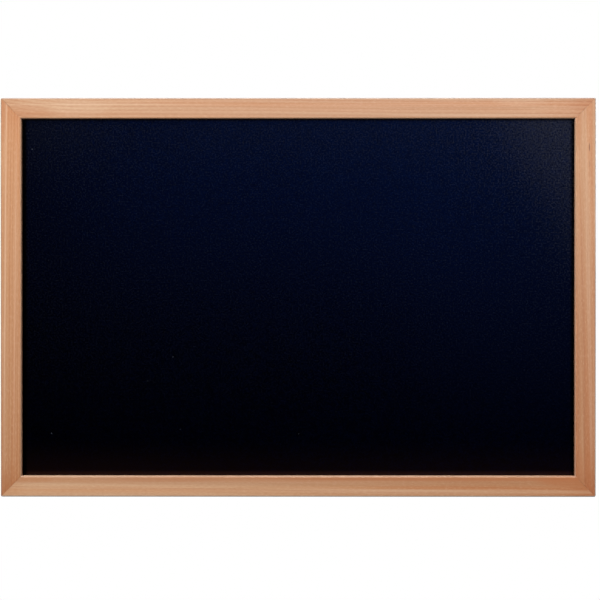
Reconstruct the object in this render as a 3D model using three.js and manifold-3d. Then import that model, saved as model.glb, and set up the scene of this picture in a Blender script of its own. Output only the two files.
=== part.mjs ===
// Wall chalkboard in a mitred softwood frame.
//
// Four rebated mouldings meet in glued mitres that steel V-nails pin from behind. A black lacquered
// hardboard panel lies in the rebate, against the back of the front lip, and flat steel points driven
// into the rebate wall hold it there. Two strap hangers with swinging D-rings are screwed to the
// stiles, and four rubber bumpers keep the frame off the wall.
//
// Millimetres, +Z up, the writing surface faces -Y and the wall lies in the plane Y = 0. The origin is
// on the wall, midway between the two hooks, at the height where the rings hang on them.

import * as THREE from "three";
import { mergeVertices } from "three/addons/utils/BufferGeometryUtils.js";
import Module from "manifold-3d";

// Whole board
const boardWidth = 600;
const boardHeight = 402;

// Frame moulding
const mouldingFace = 21;
const mouldingDepth = 16;
const lipDepth = 6;
const rebateWidth = 6;
const outerRounding = 1.5;
const sightRounding = 1.5;
const backRounding = 0.6;
const cornerRounding = 1.2;
const glueLine = 0.2;

// Writing panel
const panelThickness = 3;
const panelPlay = 1;

// V-nails across the mitres
const nailLeg = 4.6;
const nailThickness = 0.6;
const nailEdgeThickness = 0.15;
const nailHeight = 10;
const nailGroundHeight = 1.5;
const nailHalfAngle = THREE.MathUtils.degToRad(50);
const nailSink = 0.2;
const nailPlaceShares = [0.5, 0.83];

// Framing points that hold the panel
const pointWidth = 9;
const pointLength = 15;
const pointThickness = 0.5;
const pointDriven = 7.5;
const pointTipLength = 3;
const pointTailRounding = 1.2;
const pointCornerInset = 100;
const pointLargestPitch = 125;

// Play round everything that is driven or screwed into the wood
const seatPlay = 0.15;

// Rubber bumpers
const bumperRadius = 5;
const bumperHeight = 4;
const bumperRimHeight = 0.8;
const bumperFlatRadius = 2.4;
const bumperInset = 30;

// Strap hangers
const hangerDrop = 42;
const strapWidth = 8;
const strapThickness = 0.8;
const strapReach = 25;
const nearHoleDrop = 7.5;
const footHoleInset = 5;
const eyeSeam = 0.15;

// D-rings
const ringWire = 1.8;
const ringReach = 13;
const ringCornerRadius = 1.6;
const ringSidePlay = 0.8;
const ringEndGap = 0.4;
const eyePlay = 0.2;
const ringRestGap = 0.3;

// Hanger screws
const screwLength = 12;
const screwShankRadius = 1.4;
const screwTipLength = 3;
const screwTipRadius = 0.2;
const screwHeadRadius = 2.7;
const screwHeadHeight = 1.7;
const screwRimHeight = 0.5;
const crossSpan = 3.4;
const crossWidth = 0.8;
const crossDepth = 1.1;
const boreEndSpace = 0.6;
const screwTurns = [12, 77, 34, 58].map(THREE.MathUtils.degToRad);

// How far a cutter runs past the face that it opens
const overrun = 2;

// Facets
const roundSegments = 32;
const wireSides = 10;
const wireSteps = 64;
const arcSegments = 5;
const eyeSegments = 12;

// Sizes that follow from the ones above
const landWidth = mouldingFace - rebateWidth;
const ledgeY = lipDepth - mouldingDepth;
const panelBackY = ledgeY + panelThickness;
const mitreSetback = (glueLine / 2) * Math.SQRT2;
const eyeInnerRadius = ringWire / 2 + eyePlay;
const eyeOuterRadius = eyeInnerRadius + strapThickness;
const ringHalfWidth = (strapWidth + ringSidePlay + ringWire) / 2;
const ringLean = Math.asin((eyeOuterRadius - ringWire / 2 - ringRestGap) / ringReach);
const hookRise = (ringReach - ringWire / 2) * Math.cos(ringLean);
const strapHoleRadius = screwShankRadius + seatPlay;
const farHoleDrop = strapReach - footHoleInset;

const wasm = await Module();
wasm.setup();

const pine = new THREE.MeshStandardMaterial({ color: 0xd3a37d, roughness: 0.55, metalness: 0 });
const lacquer = new THREE.MeshStandardMaterial({ color: 0x0b0e14, roughness: 0.6, metalness: 0 });
const zinc = new THREE.MeshStandardMaterial({ color: 0xb9bcc0, roughness: 0.35, metalness: 1 });
const steel = new THREE.MeshStandardMaterial({ color: 0x8d9095, roughness: 0.4, metalness: 1 });
const rubber = new THREE.MeshStandardMaterial({ color: 0x26262a, roughness: 0.8, metalness: 0 });

const xAxis = new THREE.Vector3(1, 0, 0);
const yAxis = new THREE.Vector3(0, 1, 0);
const zAxis = new THREE.Vector3(0, 0, 1);

// An outline drawn in Y and Z is swept along X.
const sweptAlongX = new THREE.Matrix4().makeBasis(yAxis, zAxis, xAxis);

// An outline drawn in X and Z, as seen from the front, is swept towards the front.
const sweptToFront = new THREE.Matrix4().makeBasis(xAxis, zAxis, yAxis.clone().negate());

function solidOf(geometry) {
  const bare = geometry.index ? geometry.toNonIndexed() : geometry.clone();
  bare.deleteAttribute("normal");
  bare.deleteAttribute("uv");
  const merged = mergeVertices(bare);
  const mesh = new wasm.Mesh({
    numProp: 3,
    vertProperties: merged.attributes.position.array,
    triVerts: new Uint32Array(merged.index.array),
  });
  return new wasm.Manifold(mesh);
}

function geometryOf(solid) {
  const mesh = solid.getMesh();
  const geometry = new THREE.BufferGeometry();
  geometry.setAttribute("position", new THREE.BufferAttribute(mesh.vertProperties, mesh.numProp));
  geometry.setIndex(new THREE.BufferAttribute(mesh.triVerts, 1));
  geometry.computeVertexNormals();
  return geometry;
}

function cutAway(solid, cutters) {
  return geometryOf(cutters.reduce((left, cutter) => left.subtract(solidOf(cutter)), solid));
}

// A plate or cutter with an outline in X and Z, from the plane y = backY forwards.
function plateFromBack(outline, thickness, backY) {
  const plate = new THREE.ExtrudeGeometry(outline, {
    depth: thickness,
    bevelEnabled: false,
    curveSegments: arcSegments,
  });
  return plate.applyMatrix4(sweptToFront).translate(0, backY, 0);
}

// A round cutter along Y, from y = backY forwards.
function boreFromBack(radius, depth, x, backY, z) {
  const bore = new THREE.CylinderGeometry(radius, radius, depth, roundSegments);
  return bore.translate(x, backY - depth / 2, z);
}

function named(name, geometry, material) {
  const mesh = new THREE.Mesh(geometry, material);
  mesh.name = name;
  return mesh;
}

// Section of the moulding in Y and Z: the outer edge on z = 0, the back on y = 0.
function mouldingSection() {
  const frontY = -mouldingDepth;
  const sightZ = -mouldingFace;
  const section = new THREE.Shape();
  section.moveTo(-backRounding, 0);
  section.lineTo(frontY + outerRounding, 0);
  section.absarc(frontY + outerRounding, -outerRounding, outerRounding, Math.PI / 2, Math.PI, false);
  section.lineTo(frontY, sightZ + sightRounding);
  section.absarc(
    frontY + sightRounding, sightZ + sightRounding, sightRounding, Math.PI, Math.PI * 1.5, false,
  );
  section.lineTo(ledgeY, sightZ);
  section.lineTo(ledgeY, -landWidth);
  section.lineTo(0, -landWidth);
  section.lineTo(0, -backRounding);
  section.absarc(-backRounding, -backRounding, backRounding, 0, Math.PI / 2, false);
  return section;
}

// The moulding with both ends cut at 45 degrees: a point further in from the outer edge lies as much
// further in from the end.
function mitredBar(length) {
  const bar = new THREE.ExtrudeGeometry(mouldingSection(), {
    depth: 1,
    bevelEnabled: false,
    curveSegments: arcSegments,
  });
  bar.applyMatrix4(sweptAlongX);
  const place = bar.attributes.position;
  for (let i = 0; i < place.count; i += 1) {
    const end = place.getX(i) > 0.5 ? 1 : -1;
    place.setX(i, end * (length / 2 - mitreSetback + place.getZ(i)));
  }
  return bar;
}

// Front view of a member and what lies beyond its sight edge, with the board's two eased corners.
function cornerOutline(length) {
  const half = length / 2;
  const round = cornerRounding;
  const outline = new THREE.Shape();
  outline.moveTo(-half, -mouldingFace - overrun);
  outline.lineTo(half, -mouldingFace - overrun);
  outline.lineTo(half, -round);
  outline.absarc(half - round, -round, round, 0, Math.PI / 2, false);
  outline.lineTo(round - half, 0);
  outline.absarc(round - half, -round, round, Math.PI / 2, Math.PI, false);
  return outline;
}

// The six corners of a V-nail's section in X and Z, astride the mitre that runs inwards from a corner.
// place is the distance of the bend from that corner.
function nailOutline(corner, inward, place, thickness, leg) {
  const across = new THREE.Vector2(-inward.y, inward.x);
  const bendHalf = thickness / 2 / Math.sin(nailHalfAngle);
  const at = (along, sideways) =>
    corner.clone().addScaledVector(inward, place + along).addScaledVector(across, sideways);
  const legEnd = (side, face) => {
    const along = -leg * Math.cos(nailHalfAngle) + (face * thickness * Math.sin(nailHalfAngle)) / 2;
    const sideways = leg * Math.sin(nailHalfAngle) + (face * thickness * Math.cos(nailHalfAngle)) / 2;
    return at(along, side * sideways);
  };
  return [
    at(bendHalf, 0), legEnd(1, 1), legEnd(1, -1), at(-bendHalf, 0), legEnd(-1, -1), legEnd(-1, 1),
  ];
}

function nailPlaces() {
  return nailPlaceShares.map((share) => share * landWidth * Math.SQRT2);
}

// A V-nail: full section from its head down to the ground edge, then tapering to the cutting edge.
function nailBody(corner, inward, place) {
  const full = nailOutline(corner, inward, place, nailThickness, nailLeg);
  const edge = nailOutline(corner, inward, place, nailEdgeThickness, nailLeg);
  const body = new THREE.ExtrudeGeometry(new THREE.Shape(full), {
    depth: 2,
    steps: 2,
    bevelEnabled: false,
  });
  const vertices = body.attributes.position;
  for (let i = 0; i < vertices.count; i += 1) {
    const ring = Math.round(vertices.getZ(i));
    if (ring === 1) vertices.setZ(i, nailHeight - nailGroundHeight);
    if (ring === 2) {
      const here = new THREE.Vector2(vertices.getX(i), vertices.getY(i));
      const gaps = full.map((p) => p.distanceTo(here));
      const target = edge[gaps.indexOf(Math.min(...gaps))];
      vertices.setXYZ(i, target.x, target.y, nailHeight);
    }
  }
  return body.applyMatrix4(sweptToFront).translate(0, -nailSink, 0);
}

function nailSlot(corner, inward, place) {
  const outline = nailOutline(corner, inward, place, nailThickness + seatPlay * 2, nailLeg + seatPlay);
  const depth = nailSink + nailHeight + seatPlay + overrun;
  return plateFromBack(new THREE.Shape(outline), depth, overrun);
}

// Places of the framing points along a member, evenly spread between its two corner insets.
function pointPlaces(length) {
  const span = length - pointCornerInset * 2;
  const gaps = Math.max(1, Math.ceil(span / pointLargestPitch));
  return Array.from({ length: gaps + 1 }, (_, i) => (i / gaps) * span - span / 2);
}

// A flat point seen from behind: the tip is driven outwards into the rebate wall.
function pointOutline(play) {
  const half = pointWidth / 2 + play;
  const tipZ = pointDriven - landWidth + play;
  const tailZ = pointDriven - pointLength - landWidth;
  const round = pointTailRounding;
  const outline = new THREE.Shape();
  outline.moveTo(0, tipZ);
  outline.lineTo(-half, tipZ - pointTipLength);
  outline.lineTo(-half, tailZ + round);
  outline.absarc(-half + round, tailZ + round, round, Math.PI, Math.PI * 1.5, false);
  outline.lineTo(half - round, tailZ);
  outline.absarc(half - round, tailZ + round, round, -Math.PI / 2, 0, false);
  outline.lineTo(half, tipZ - pointTipLength);
  return outline;
}

function pointBody(place) {
  const backY = panelBackY + pointThickness;
  return plateFromBack(pointOutline(0), pointThickness, backY).translate(place, 0, 0);
}

function pointSlot(place) {
  const backY = panelBackY + pointThickness + seatPlay;
  const slot = plateFromBack(pointOutline(seatPlay), pointThickness + seatPlay * 2, backY);
  return slot.translate(place, 0, 0);
}

function bumperBody() {
  const profile = [new THREE.Vector2(0, 0), new THREE.Vector2(bumperRadius, 0)];
  const shoulder = new THREE.EllipseCurve(
    bumperFlatRadius, bumperRimHeight,
    bumperRadius - bumperFlatRadius, bumperHeight - bumperRimHeight,
    0, Math.PI / 2, false, 0,
  );
  profile.push(...shoulder.getPoints(arcSegments), new THREE.Vector2(0, bumperHeight));
  return new THREE.LatheGeometry(profile, roundSegments);
}

// A frame member in its own frame: its outer edge on z = 0 with +Z outwards, its back on y = 0.
function frameMember(name, length, screwPlaces) {
  const ends = [-1, 1].map((end) => ({
    corner: new THREE.Vector2((end * length) / 2, 0),
    inward: new THREE.Vector2(-end, -1).normalize(),
  }));
  const slots = ends.flatMap((end) =>
    nailPlaces().map((place) => nailSlot(end.corner, end.inward, place)),
  );
  const boreDepth = screwLength - strapThickness + boreEndSpace + overrun;
  const bores = screwPlaces.map((x) =>
    boreFromBack(strapHoleRadius, boreDepth, x, overrun, -landWidth / 2),
  );
  const block = plateFromBack(cornerOutline(length), mouldingDepth + overrun * 2, overrun);
  const bar = solidOf(mitredBar(length)).intersect(solidOf(block));
  const body = cutAway(bar, [...slots, ...bores, ...pointPlaces(length).map(pointSlot)]);
  return named(name, body, pine);
}

// Side view of the strap in Y and Z: flat against the frame, then rolled round the ring's bar.
function strapSection() {
  const rollEnd = Math.PI * 2 - Math.acos(1 - (strapThickness + eyeSeam) / eyeOuterRadius);
  const endAngle = Math.PI - rollEnd;
  const section = new THREE.Shape();
  section.moveTo(0, -strapReach);
  section.lineTo(0, 0);
  section.absarc(eyeOuterRadius, 0, eyeOuterRadius, Math.PI, endAngle, true);
  section.absarc(eyeOuterRadius, 0, eyeInnerRadius, endAngle, Math.PI, false);
  section.lineTo(strapThickness, -strapReach);
  return section;
}

// Front view of the strap in X and Z: square at the eye, a full round at the foot.
function strapOutline() {
  const half = strapWidth / 2;
  const topZ = eyeOuterRadius + overrun;
  const outline = new THREE.Shape();
  outline.moveTo(half, topZ);
  outline.lineTo(-half, topZ);
  outline.lineTo(-half, half - strapReach);
  outline.absarc(0, half - strapReach, half, Math.PI, Math.PI * 2, false);
  return outline;
}

function strapBody() {
  const sheet = new THREE.ExtrudeGeometry(strapSection(), {
    depth: strapWidth + overrun * 2,
    bevelEnabled: false,
    curveSegments: eyeSegments,
  });
  sheet.applyMatrix4(sweptAlongX).translate(-strapWidth / 2 - overrun, 0, 0);
  const blank = new THREE.ExtrudeGeometry(strapOutline(), {
    depth: eyeOuterRadius * 2 + overrun * 2,
    bevelEnabled: false,
    curveSegments: eyeSegments,
  });
  blank.applyMatrix4(sweptToFront).translate(0, eyeOuterRadius * 2 + overrun, 0);
  const holes = [nearHoleDrop, farHoleDrop].map((drop) =>
    boreFromBack(strapHoleRadius, strapThickness + overrun * 2, 0, strapThickness + overrun, -drop),
  );
  return cutAway(solidOf(sheet).intersect(solidOf(blank)), holes);
}

// The centre line of a D-ring's wire in X and Z: a bar through the eye with its butted ends in the
// middle, two bent corners, two arms and a half round.
class RingLine extends THREE.Curve {
  constructor() {
    super();
    const half = ringHalfWidth;
    const bend = ringCornerRadius;
    this.line = new THREE.Path();
    this.line.moveTo(ringEndGap / 2, 0);
    this.line.lineTo(half - bend, 0);
    this.line.absarc(half - bend, bend, bend, -Math.PI / 2, 0, false);
    this.line.lineTo(half, ringReach - half);
    this.line.absarc(0, ringReach - half, half, 0, Math.PI, false);
    this.line.lineTo(-half, bend);
    this.line.absarc(bend - half, bend, bend, Math.PI, Math.PI * 1.5, false);
    this.line.lineTo(-ringEndGap / 2, 0);
  }

  getPoint(t, target = new THREE.Vector3()) {
    const flat = this.line.getPoint(t);
    return target.set(flat.x, 0, flat.y);
  }
}

function ringBody() {
  const wire = new THREE.Shape();
  wire.absarc(0, 0, ringWire / 2, 0, Math.PI * 2, false);
  return new THREE.ExtrudeGeometry(new THREE.Shape(wire.getSpacedPoints(wireSides).slice(1)), {
    extrudePath: new RingLine(),
    steps: wireSteps,
  });
}

// A pan-head screw along Y: its head's underside on y = 0, its point towards -Y.
function screwBody() {
  const profile = [
    new THREE.Vector2(0, -screwLength),
    new THREE.Vector2(screwTipRadius, -screwLength),
    new THREE.Vector2(screwShankRadius, screwTipLength - screwLength),
    new THREE.Vector2(screwShankRadius, 0),
    new THREE.Vector2(screwHeadRadius, 0),
  ];
  const dome = new THREE.EllipseCurve(
    0, screwRimHeight, screwHeadRadius, screwHeadHeight - screwRimHeight, 0, Math.PI / 2, false, 0,
  );
  profile.push(...dome.getPoints(arcSegments));
  const blade = (spanX, spanZ) => {
    const cutter = new THREE.BoxGeometry(spanX, crossDepth + overrun, spanZ);
    return cutter.translate(0, screwHeadHeight - crossDepth + (crossDepth + overrun) / 2, 0);
  };
  const blank = solidOf(new THREE.LatheGeometry(profile, roundSegments));
  return cutAway(blank, [blade(crossSpan, crossWidth), blade(crossWidth, crossSpan)]);
}

const chalkboard = new THREE.Group();
const board = new THREE.Group();
board.position.set(0, -bumperHeight, hangerDrop - hookRise - boardHeight / 2);
chalkboard.add(board);

// Places of the hanger screws along a stile, measured upwards from its middle
const screwHeights = [nearHoleDrop, farHoleDrop].map((drop) => boardHeight / 2 - hangerDrop - drop);

const members = [
  { side: "top", kind: "rail", length: boardWidth, turn: 0, x: 0, z: boardHeight / 2, up: 0 },
  { side: "bottom", kind: "rail", length: boardWidth, turn: Math.PI, x: 0, z: -boardHeight / 2, up: 0 },
  { side: "left", kind: "stile", length: boardHeight, turn: -Math.PI / 2, x: -boardWidth / 2, z: 0, up: 1 },
  { side: "right", kind: "stile", length: boardHeight, turn: Math.PI / 2, x: boardWidth / 2, z: 0, up: -1 },
];

for (const { side, kind, length, turn, x, z, up } of members) {
  const group = new THREE.Group();
  group.position.set(x, 0, z);
  group.rotation.y = turn;
  const screwPlaces = kind === "stile" ? screwHeights.map((height) => height * up) : [];
  group.add(frameMember(`frame_${kind}_${side}`, length, screwPlaces));
  pointPlaces(length).forEach((place, i) => {
    group.add(named(`framing_point_${side}_${i + 1}`, pointBody(place), steel));
  });
  board.add(group);
}

const panelWidth = boardWidth - (landWidth + panelPlay) * 2;
const panelHeight = boardHeight - (landWidth + panelPlay) * 2;
const panel = named(
  "writing_panel", new THREE.BoxGeometry(panelWidth, panelThickness, panelHeight), lacquer,
);
panel.position.y = panelBackY - panelThickness / 2;
board.add(panel);

for (const [level, up] of [["top", 1], ["bottom", -1]]) {
  for (const [side, out] of [["left", -1], ["right", 1]]) {
    const corner = new THREE.Vector2((out * boardWidth) / 2, (up * boardHeight) / 2);
    const inward = new THREE.Vector2(-out, -up).normalize();
    nailPlaces().forEach((place, i) => {
      const name = `corner_nail_${level}_${side}_${i + 1}`;
      board.add(named(name, nailBody(corner, inward, place), steel));
    });
    const bumper = named(`wall_bumper_${level}_${side}`, bumperBody(), rubber);
    bumper.position.set(
      out * (boardWidth / 2 - bumperInset), 0, up * (boardHeight / 2 - landWidth / 2),
    );
    board.add(bumper);
  }
}

[["left", -1], ["right", 1]].forEach(([side, out], pair) => {
  const hanger = new THREE.Group();
  hanger.position.set(out * (boardWidth / 2 - landWidth / 2), 0, boardHeight / 2 - hangerDrop);
  hanger.add(named(`hanger_strap_${side}`, strapBody(), zinc));
  const ring = named(`hanger_ring_${side}`, ringBody(), zinc);
  ring.position.y = eyeOuterRadius;
  ring.rotation.x = ringLean;
  hanger.add(ring);
  [["upper", nearHoleDrop], ["lower", farHoleDrop]].forEach(([level, drop], i) => {
    const screw = named(`hanger_screw_${side}_${level}`, screwBody(), zinc);
    screw.position.set(0, strapThickness, -drop);
    screw.rotation.y = screwTurns[pair * 2 + i];
    hanger.add(screw);
  });
  board.add(hanger);
});

export default chalkboard;
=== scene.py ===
"""Looks of a wall chalkboard: a black lacquered panel in a mitred frame of light softwood.

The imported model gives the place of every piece. This script makes the fine meshes and the finishes:
the mouldings with their grain, the panel with its lacquer and its fibre back, and the nails, points,
hangers and bumpers that show from behind. Metres, +Z up; the writing surface faces -Y and the wall
lies in the plane Y = 0.
"""

import logging
import math
from collections.abc import Callable, Iterable, Sequence
from dataclasses import dataclass, field
from enum import Enum
from itertools import product
from typing import Any

import bmesh
import bpy
from mathutils import Matrix, Vector


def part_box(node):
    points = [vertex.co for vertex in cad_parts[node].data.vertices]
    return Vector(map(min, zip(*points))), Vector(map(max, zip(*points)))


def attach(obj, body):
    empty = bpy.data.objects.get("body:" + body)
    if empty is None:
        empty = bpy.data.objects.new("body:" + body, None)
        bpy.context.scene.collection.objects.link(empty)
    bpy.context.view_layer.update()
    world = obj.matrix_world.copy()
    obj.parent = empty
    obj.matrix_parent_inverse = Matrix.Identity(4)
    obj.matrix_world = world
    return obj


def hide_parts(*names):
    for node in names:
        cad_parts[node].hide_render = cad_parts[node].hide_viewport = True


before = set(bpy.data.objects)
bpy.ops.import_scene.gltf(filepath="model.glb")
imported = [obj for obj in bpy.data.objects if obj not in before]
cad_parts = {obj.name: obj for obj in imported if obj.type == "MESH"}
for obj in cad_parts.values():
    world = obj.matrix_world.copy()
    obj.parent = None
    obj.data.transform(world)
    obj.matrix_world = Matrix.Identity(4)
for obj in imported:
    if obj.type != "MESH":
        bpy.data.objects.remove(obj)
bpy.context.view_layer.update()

Colour = tuple[float, float, float]
Triple = tuple[float, float, float]
Flat = tuple[float, float]
Mesh = bpy.types.Mesh
Object = bpy.types.Object
Material = bpy.types.Material

SMOOTH_BELOW = math.radians(32)
ROUND_ABOVE = math.radians(40)
OVERRUN = 0.002
ROOT_TWO = math.sqrt(2)

log = logging.getLogger("chalkboard")


class Blend(Enum):
    """How one colour lies on another."""

    OVER = "MIX"
    TIMES = "MULTIPLY"


class Cut(Enum):
    """Which part of a piece a cutter takes away: what it covers, or all the rest."""

    AWAY = "DIFFERENCE"
    SHARED = "INTERSECT"


class Kind(Enum):
    """A member's kind, with the turn about Y that lays its fibres along X."""

    RAIL = 0.0
    STILE = -math.pi / 2


class Side(Enum):
    """A side of the frame, as the direction from the middle to it along X and Z."""

    TOP = (0, 1)
    BOTTOM = (0, -1)
    LEFT = (-1, 0)
    RIGHT = (1, 0)

    @property
    def label(self) -> str:
        """Its word in the names of the solids."""
        return self.name.lower()

    @property
    def kind(self) -> Kind:
        """Rails lie above and below, stiles stand left and right."""
        return Kind.STILE if self.value[0] else Kind.RAIL

    @property
    def turn(self) -> float:
        """The turn about Y that takes the top side to this one."""
        return math.atan2(*self.value)


def arithmetic(operation: str) -> tuple[Callable[..., "Signal"], Callable[..., "Signal"]]:
    """A Python operator on signals, and its reflected form for a number on the left.

    Args:
        operation: The Math node's operation.

    Returns:
        The two methods for the class Signal.
    """

    def plain(self: "Signal", other: "Signal | float") -> "Signal":
        """One Math node on this signal and another signal or a number."""
        return self.bench.math(operation, self, other)

    def reflected(self: "Signal", other: float) -> "Signal":
        """One Math node on a number and this signal."""
        return self.bench.math(operation, other, self)

    return plain, reflected


class Signal:
    """An output socket of a node, whose sums and products in Python become Math nodes."""

    def __init__(self, bench: "NodeBench", socket: bpy.types.NodeSocket) -> None:
        """Keeps the socket and the bench that new nodes are added on."""
        self.bench = bench
        self.socket = socket

    def other(self, key: str) -> "Signal":
        """Another output of the same node, by its name."""
        return Signal(self.bench, self.bench.find(self.socket.node.outputs, key))

    def math(self, operation: str, *others: "Signal | float") -> "Signal":
        """One Math node with this signal in its first socket."""
        return self.bench.math(operation, self, *others)

    __add__, __radd__ = arithmetic("ADD")
    __sub__, __rsub__ = arithmetic("SUBTRACT")
    __mul__, __rmul__ = arithmetic("MULTIPLY")
    __truediv__, __rtruediv__ = arithmetic("DIVIDE")


class NodeBench:
    """Adds nodes to one tree, of a finish or of a shape, and links them."""

    def __init__(self, tree: bpy.types.NodeTree) -> None:
        """Keeps the tree that the nodes go into."""
        self.tree = tree

    @staticmethod
    def find(sockets: Iterable[bpy.types.NodeSocket], key: str | int) -> bpy.types.NodeSocket:
        """A socket by its place, its identifier or its name.

        Args:
            sockets: The inputs or outputs of a node.
            key: A place in the row, an identifier or a name.

        Returns:
            The first socket that the key fits.
        """
        row = list(sockets)
        if isinstance(key, int):
            return row[key]
        by_identifier = [socket for socket in row if socket.identifier == key]
        return (by_identifier or [socket for socket in row if socket.name == key])[0]

    def add(
        self,
        kind: str,
        settings: dict[str, Any] | None = None,
        sockets: dict[str | int, Any] | None = None,
        output: str | int = 0,
    ) -> Signal | None:
        """One node: its settings are set first, then its sockets get their values or links.

        Args:
            kind: The node's type.
            settings: Its properties; "stops" holds a colour ramp's places and brightnesses.
            sockets: A signal, a number, a colour or a data block for each input that is used.
            output: The output that is wanted.

        Returns:
            The signal of that output, or None for a node without outputs.
        """
        node = self.tree.nodes.new(kind)
        for name, value in (settings or {}).items():
            if name == "stops":
                self._set_stops(node.color_ramp, value)
            else:
                setattr(node, name, value)
        for key, value in (sockets or {}).items():
            socket = self.find(node.inputs, key)
            if isinstance(value, Signal):
                self.tree.links.new(value.socket, socket)
            elif socket.type == "RGBA":
                socket.default_value = (*value, 1.0)
            else:
                socket.default_value = value
        return Signal(self, self.find(node.outputs, output)) if node.outputs else None

    @staticmethod
    def _set_stops(ramp: bpy.types.ColorRamp, stops: Sequence[Flat]) -> None:
        """Gives a ramp grey stops.

        Args:
            ramp: The ramp, with its first two stops.
            stops: A place and a brightness each, in rising order.
        """
        while len(ramp.elements) < len(stops):
            ramp.elements.new(1.0)
        for element, (place, value) in zip(ramp.elements, stops):
            element.position = place
            element.color = (value, value, value, 1.0)

    def math(self, operation: str, *values: Signal | float) -> Signal:
        """A Math node on signals and numbers."""
        return self.add("ShaderNodeMath", {"operation": operation}, dict(enumerate(values)))

    def split(self, vector: Signal) -> tuple[Signal, Signal, Signal]:
        """The three parts of a vector."""
        x = self.add("ShaderNodeSeparateXYZ", sockets={"Vector": vector}, output="X")
        return x, x.other("Y"), x.other("Z")

    def join(self, x: Signal | float, y: Signal | float, z: Signal | float) -> Signal:
        """A vector from its three parts."""
        return self.add("ShaderNodeCombineXYZ", sockets={"X": x, "Y": y, "Z": z})


class FinishBench(NodeBench):
    """The nodes that the finishes share."""

    @classmethod
    def on(cls, owner: bpy.types.ID) -> "FinishBench":
        """A bench on the emptied tree of a material or a world.

        Args:
            owner: The material or the world.

        Returns:
            The bench.
        """
        owner.use_nodes = True
        owner.node_tree.nodes.clear()
        return cls(owner.node_tree)

    def place(self) -> Signal:
        """The place of a surface point, in metres."""
        return self.add("ShaderNodeTexCoord", output="Object")

    def noise(
        self, place: Signal, scale: float | Triple, seed: float, detail: float = 2.0, rough: float = 0.5
    ) -> Signal:
        """Cloudy noise from 0 to 1.

        Args:
            place: Where the noise is read.
            scale: How many clouds lie in a metre, in all directions or in each of the three.
            seed: Picks one of many patterns.
            detail: How many finer layers lie on it.
            rough: How strong the finer layers are.

        Returns:
            The noise as a number.
        """
        each = scale if isinstance(scale, tuple) else (scale, scale, scale)
        clouds = self.add("ShaderNodeVectorMath", {"operation": "MULTIPLY"}, {0: place, 1: each})
        return self.add(
            "ShaderNodeTexNoise",
            {"noise_dimensions": "4D"},
            {"Vector": clouds, "W": seed, "Scale": 1.0, "Detail": detail, "Roughness": rough},
        )

    def ramp(self, value: Signal, stops: Sequence[Flat]) -> Signal:
        """A number read through a ramp of places and values."""
        return self.add("ShaderNodeValToRGB", {"stops": stops}, {"Fac": value})

    def between(self, value: Signal, low: float, high: float) -> Signal:
        """A soft step from 0 at low to 1 at high; high may be the smaller."""
        sockets = {"Value": value, "From Min": low, "From Max": high}
        return self.add("ShaderNodeMapRange", {"interpolation_type": "SMOOTHSTEP"}, sockets)

    def mix(
        self,
        amount: Signal | float,
        first: Signal | Colour,
        second: Signal | Colour,
        blend: Blend = Blend.OVER,
    ) -> Signal:
        """Two colours mixed.

        Args:
            amount: How much of the second colour there is, from 0 to 1.
            first: The colour below.
            second: The colour on top.
            blend: The way they mix.

        Returns:
            The mixed colour.
        """
        settings = {"data_type": "RGBA", "blend_type": blend.value}
        sockets = {"Factor_Float": amount, "A_Color": first, "B_Color": second}
        return self.add("ShaderNodeMix", settings, sockets, output="Result_Color")

    def tint(self, amount: Signal | float, colour: Signal, by: Colour) -> Signal:
        """A colour multiplied by a tint, as far as the amount says."""
        return self.mix(amount, colour, by, Blend.TIMES)

    def bump(self, height: Signal, distance: float, strength: float = 1.0) -> Signal:
        """A normal from a height between 0 and 1, whose full step is that distance in metres."""
        sockets = {"Height": height, "Distance": distance, "Strength": strength}
        return self.add("ShaderNodeBump", sockets=sockets)


@dataclass(frozen=True)
class Fade:
    """A soft rise from nothing at the start value to its strength at the full value.

    The full value may be the smaller of the two.
    """

    start: float
    full: float
    strength: float = 1.0

    def on(self, value: Signal) -> Signal:
        """How strong it is where a signal has its value."""
        return value.bench.between(value, self.start, self.full) * self.strength


@dataclass(frozen=True, kw_only=True)
class Layer(Fade):
    """A tone that fades in on a finish."""

    tone: Colour
    blend: Blend = Blend.TIMES

    def over(self, colour: Signal | Colour, value: Signal, within: Signal | float = 1.0) -> Signal:
        """A colour with this layer on it, as far as the value and the mask within let it show."""
        return value.bench.mix(self.on(value) * within, colour, self.tone, self.blend)


@dataclass(frozen=True)
class Board:
    """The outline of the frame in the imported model."""

    left: float
    right: float
    bottom: float
    top: float
    front: float
    back: float

    @classmethod
    def from_model(cls) -> "Board":
        """Reads the outline from the boxes of the four members.

        Returns:
            The outline.
        """
        rail_low, rail_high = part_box("frame_rail_top")
        return cls(
            left=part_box("frame_stile_left")[0].x,
            right=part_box("frame_stile_right")[1].x,
            bottom=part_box("frame_rail_bottom")[0].z,
            top=rail_high.z,
            front=rail_low.y,
            back=rail_high.y,
        )

    @property
    def width(self) -> float:
        """Outer width."""
        return self.right - self.left

    @property
    def height(self) -> float:
        """Outer height."""
        return self.top - self.bottom

    @property
    def centre(self) -> Vector:
        """The middle of the frame's back face."""
        return Vector(((self.left + self.right) / 2, self.back, (self.bottom + self.top) / 2))

    def edge(self, side: Side) -> Flat:
        """Where an outer edge has its middle.

        Args:
            side: The side of the frame.

        Returns:
            The place along X and along Z.
        """
        x_side, z_side = side.value
        x = {-1: self.left, 0: self.centre.x, 1: self.right}[x_side]
        z = {-1: self.bottom, 0: self.centre.z, 1: self.top}[z_side]
        return x, z

    def length(self, side: Side) -> float:
        """The outer length of a member."""
        return self.width if side.kind is Kind.RAIL else self.height


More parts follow.
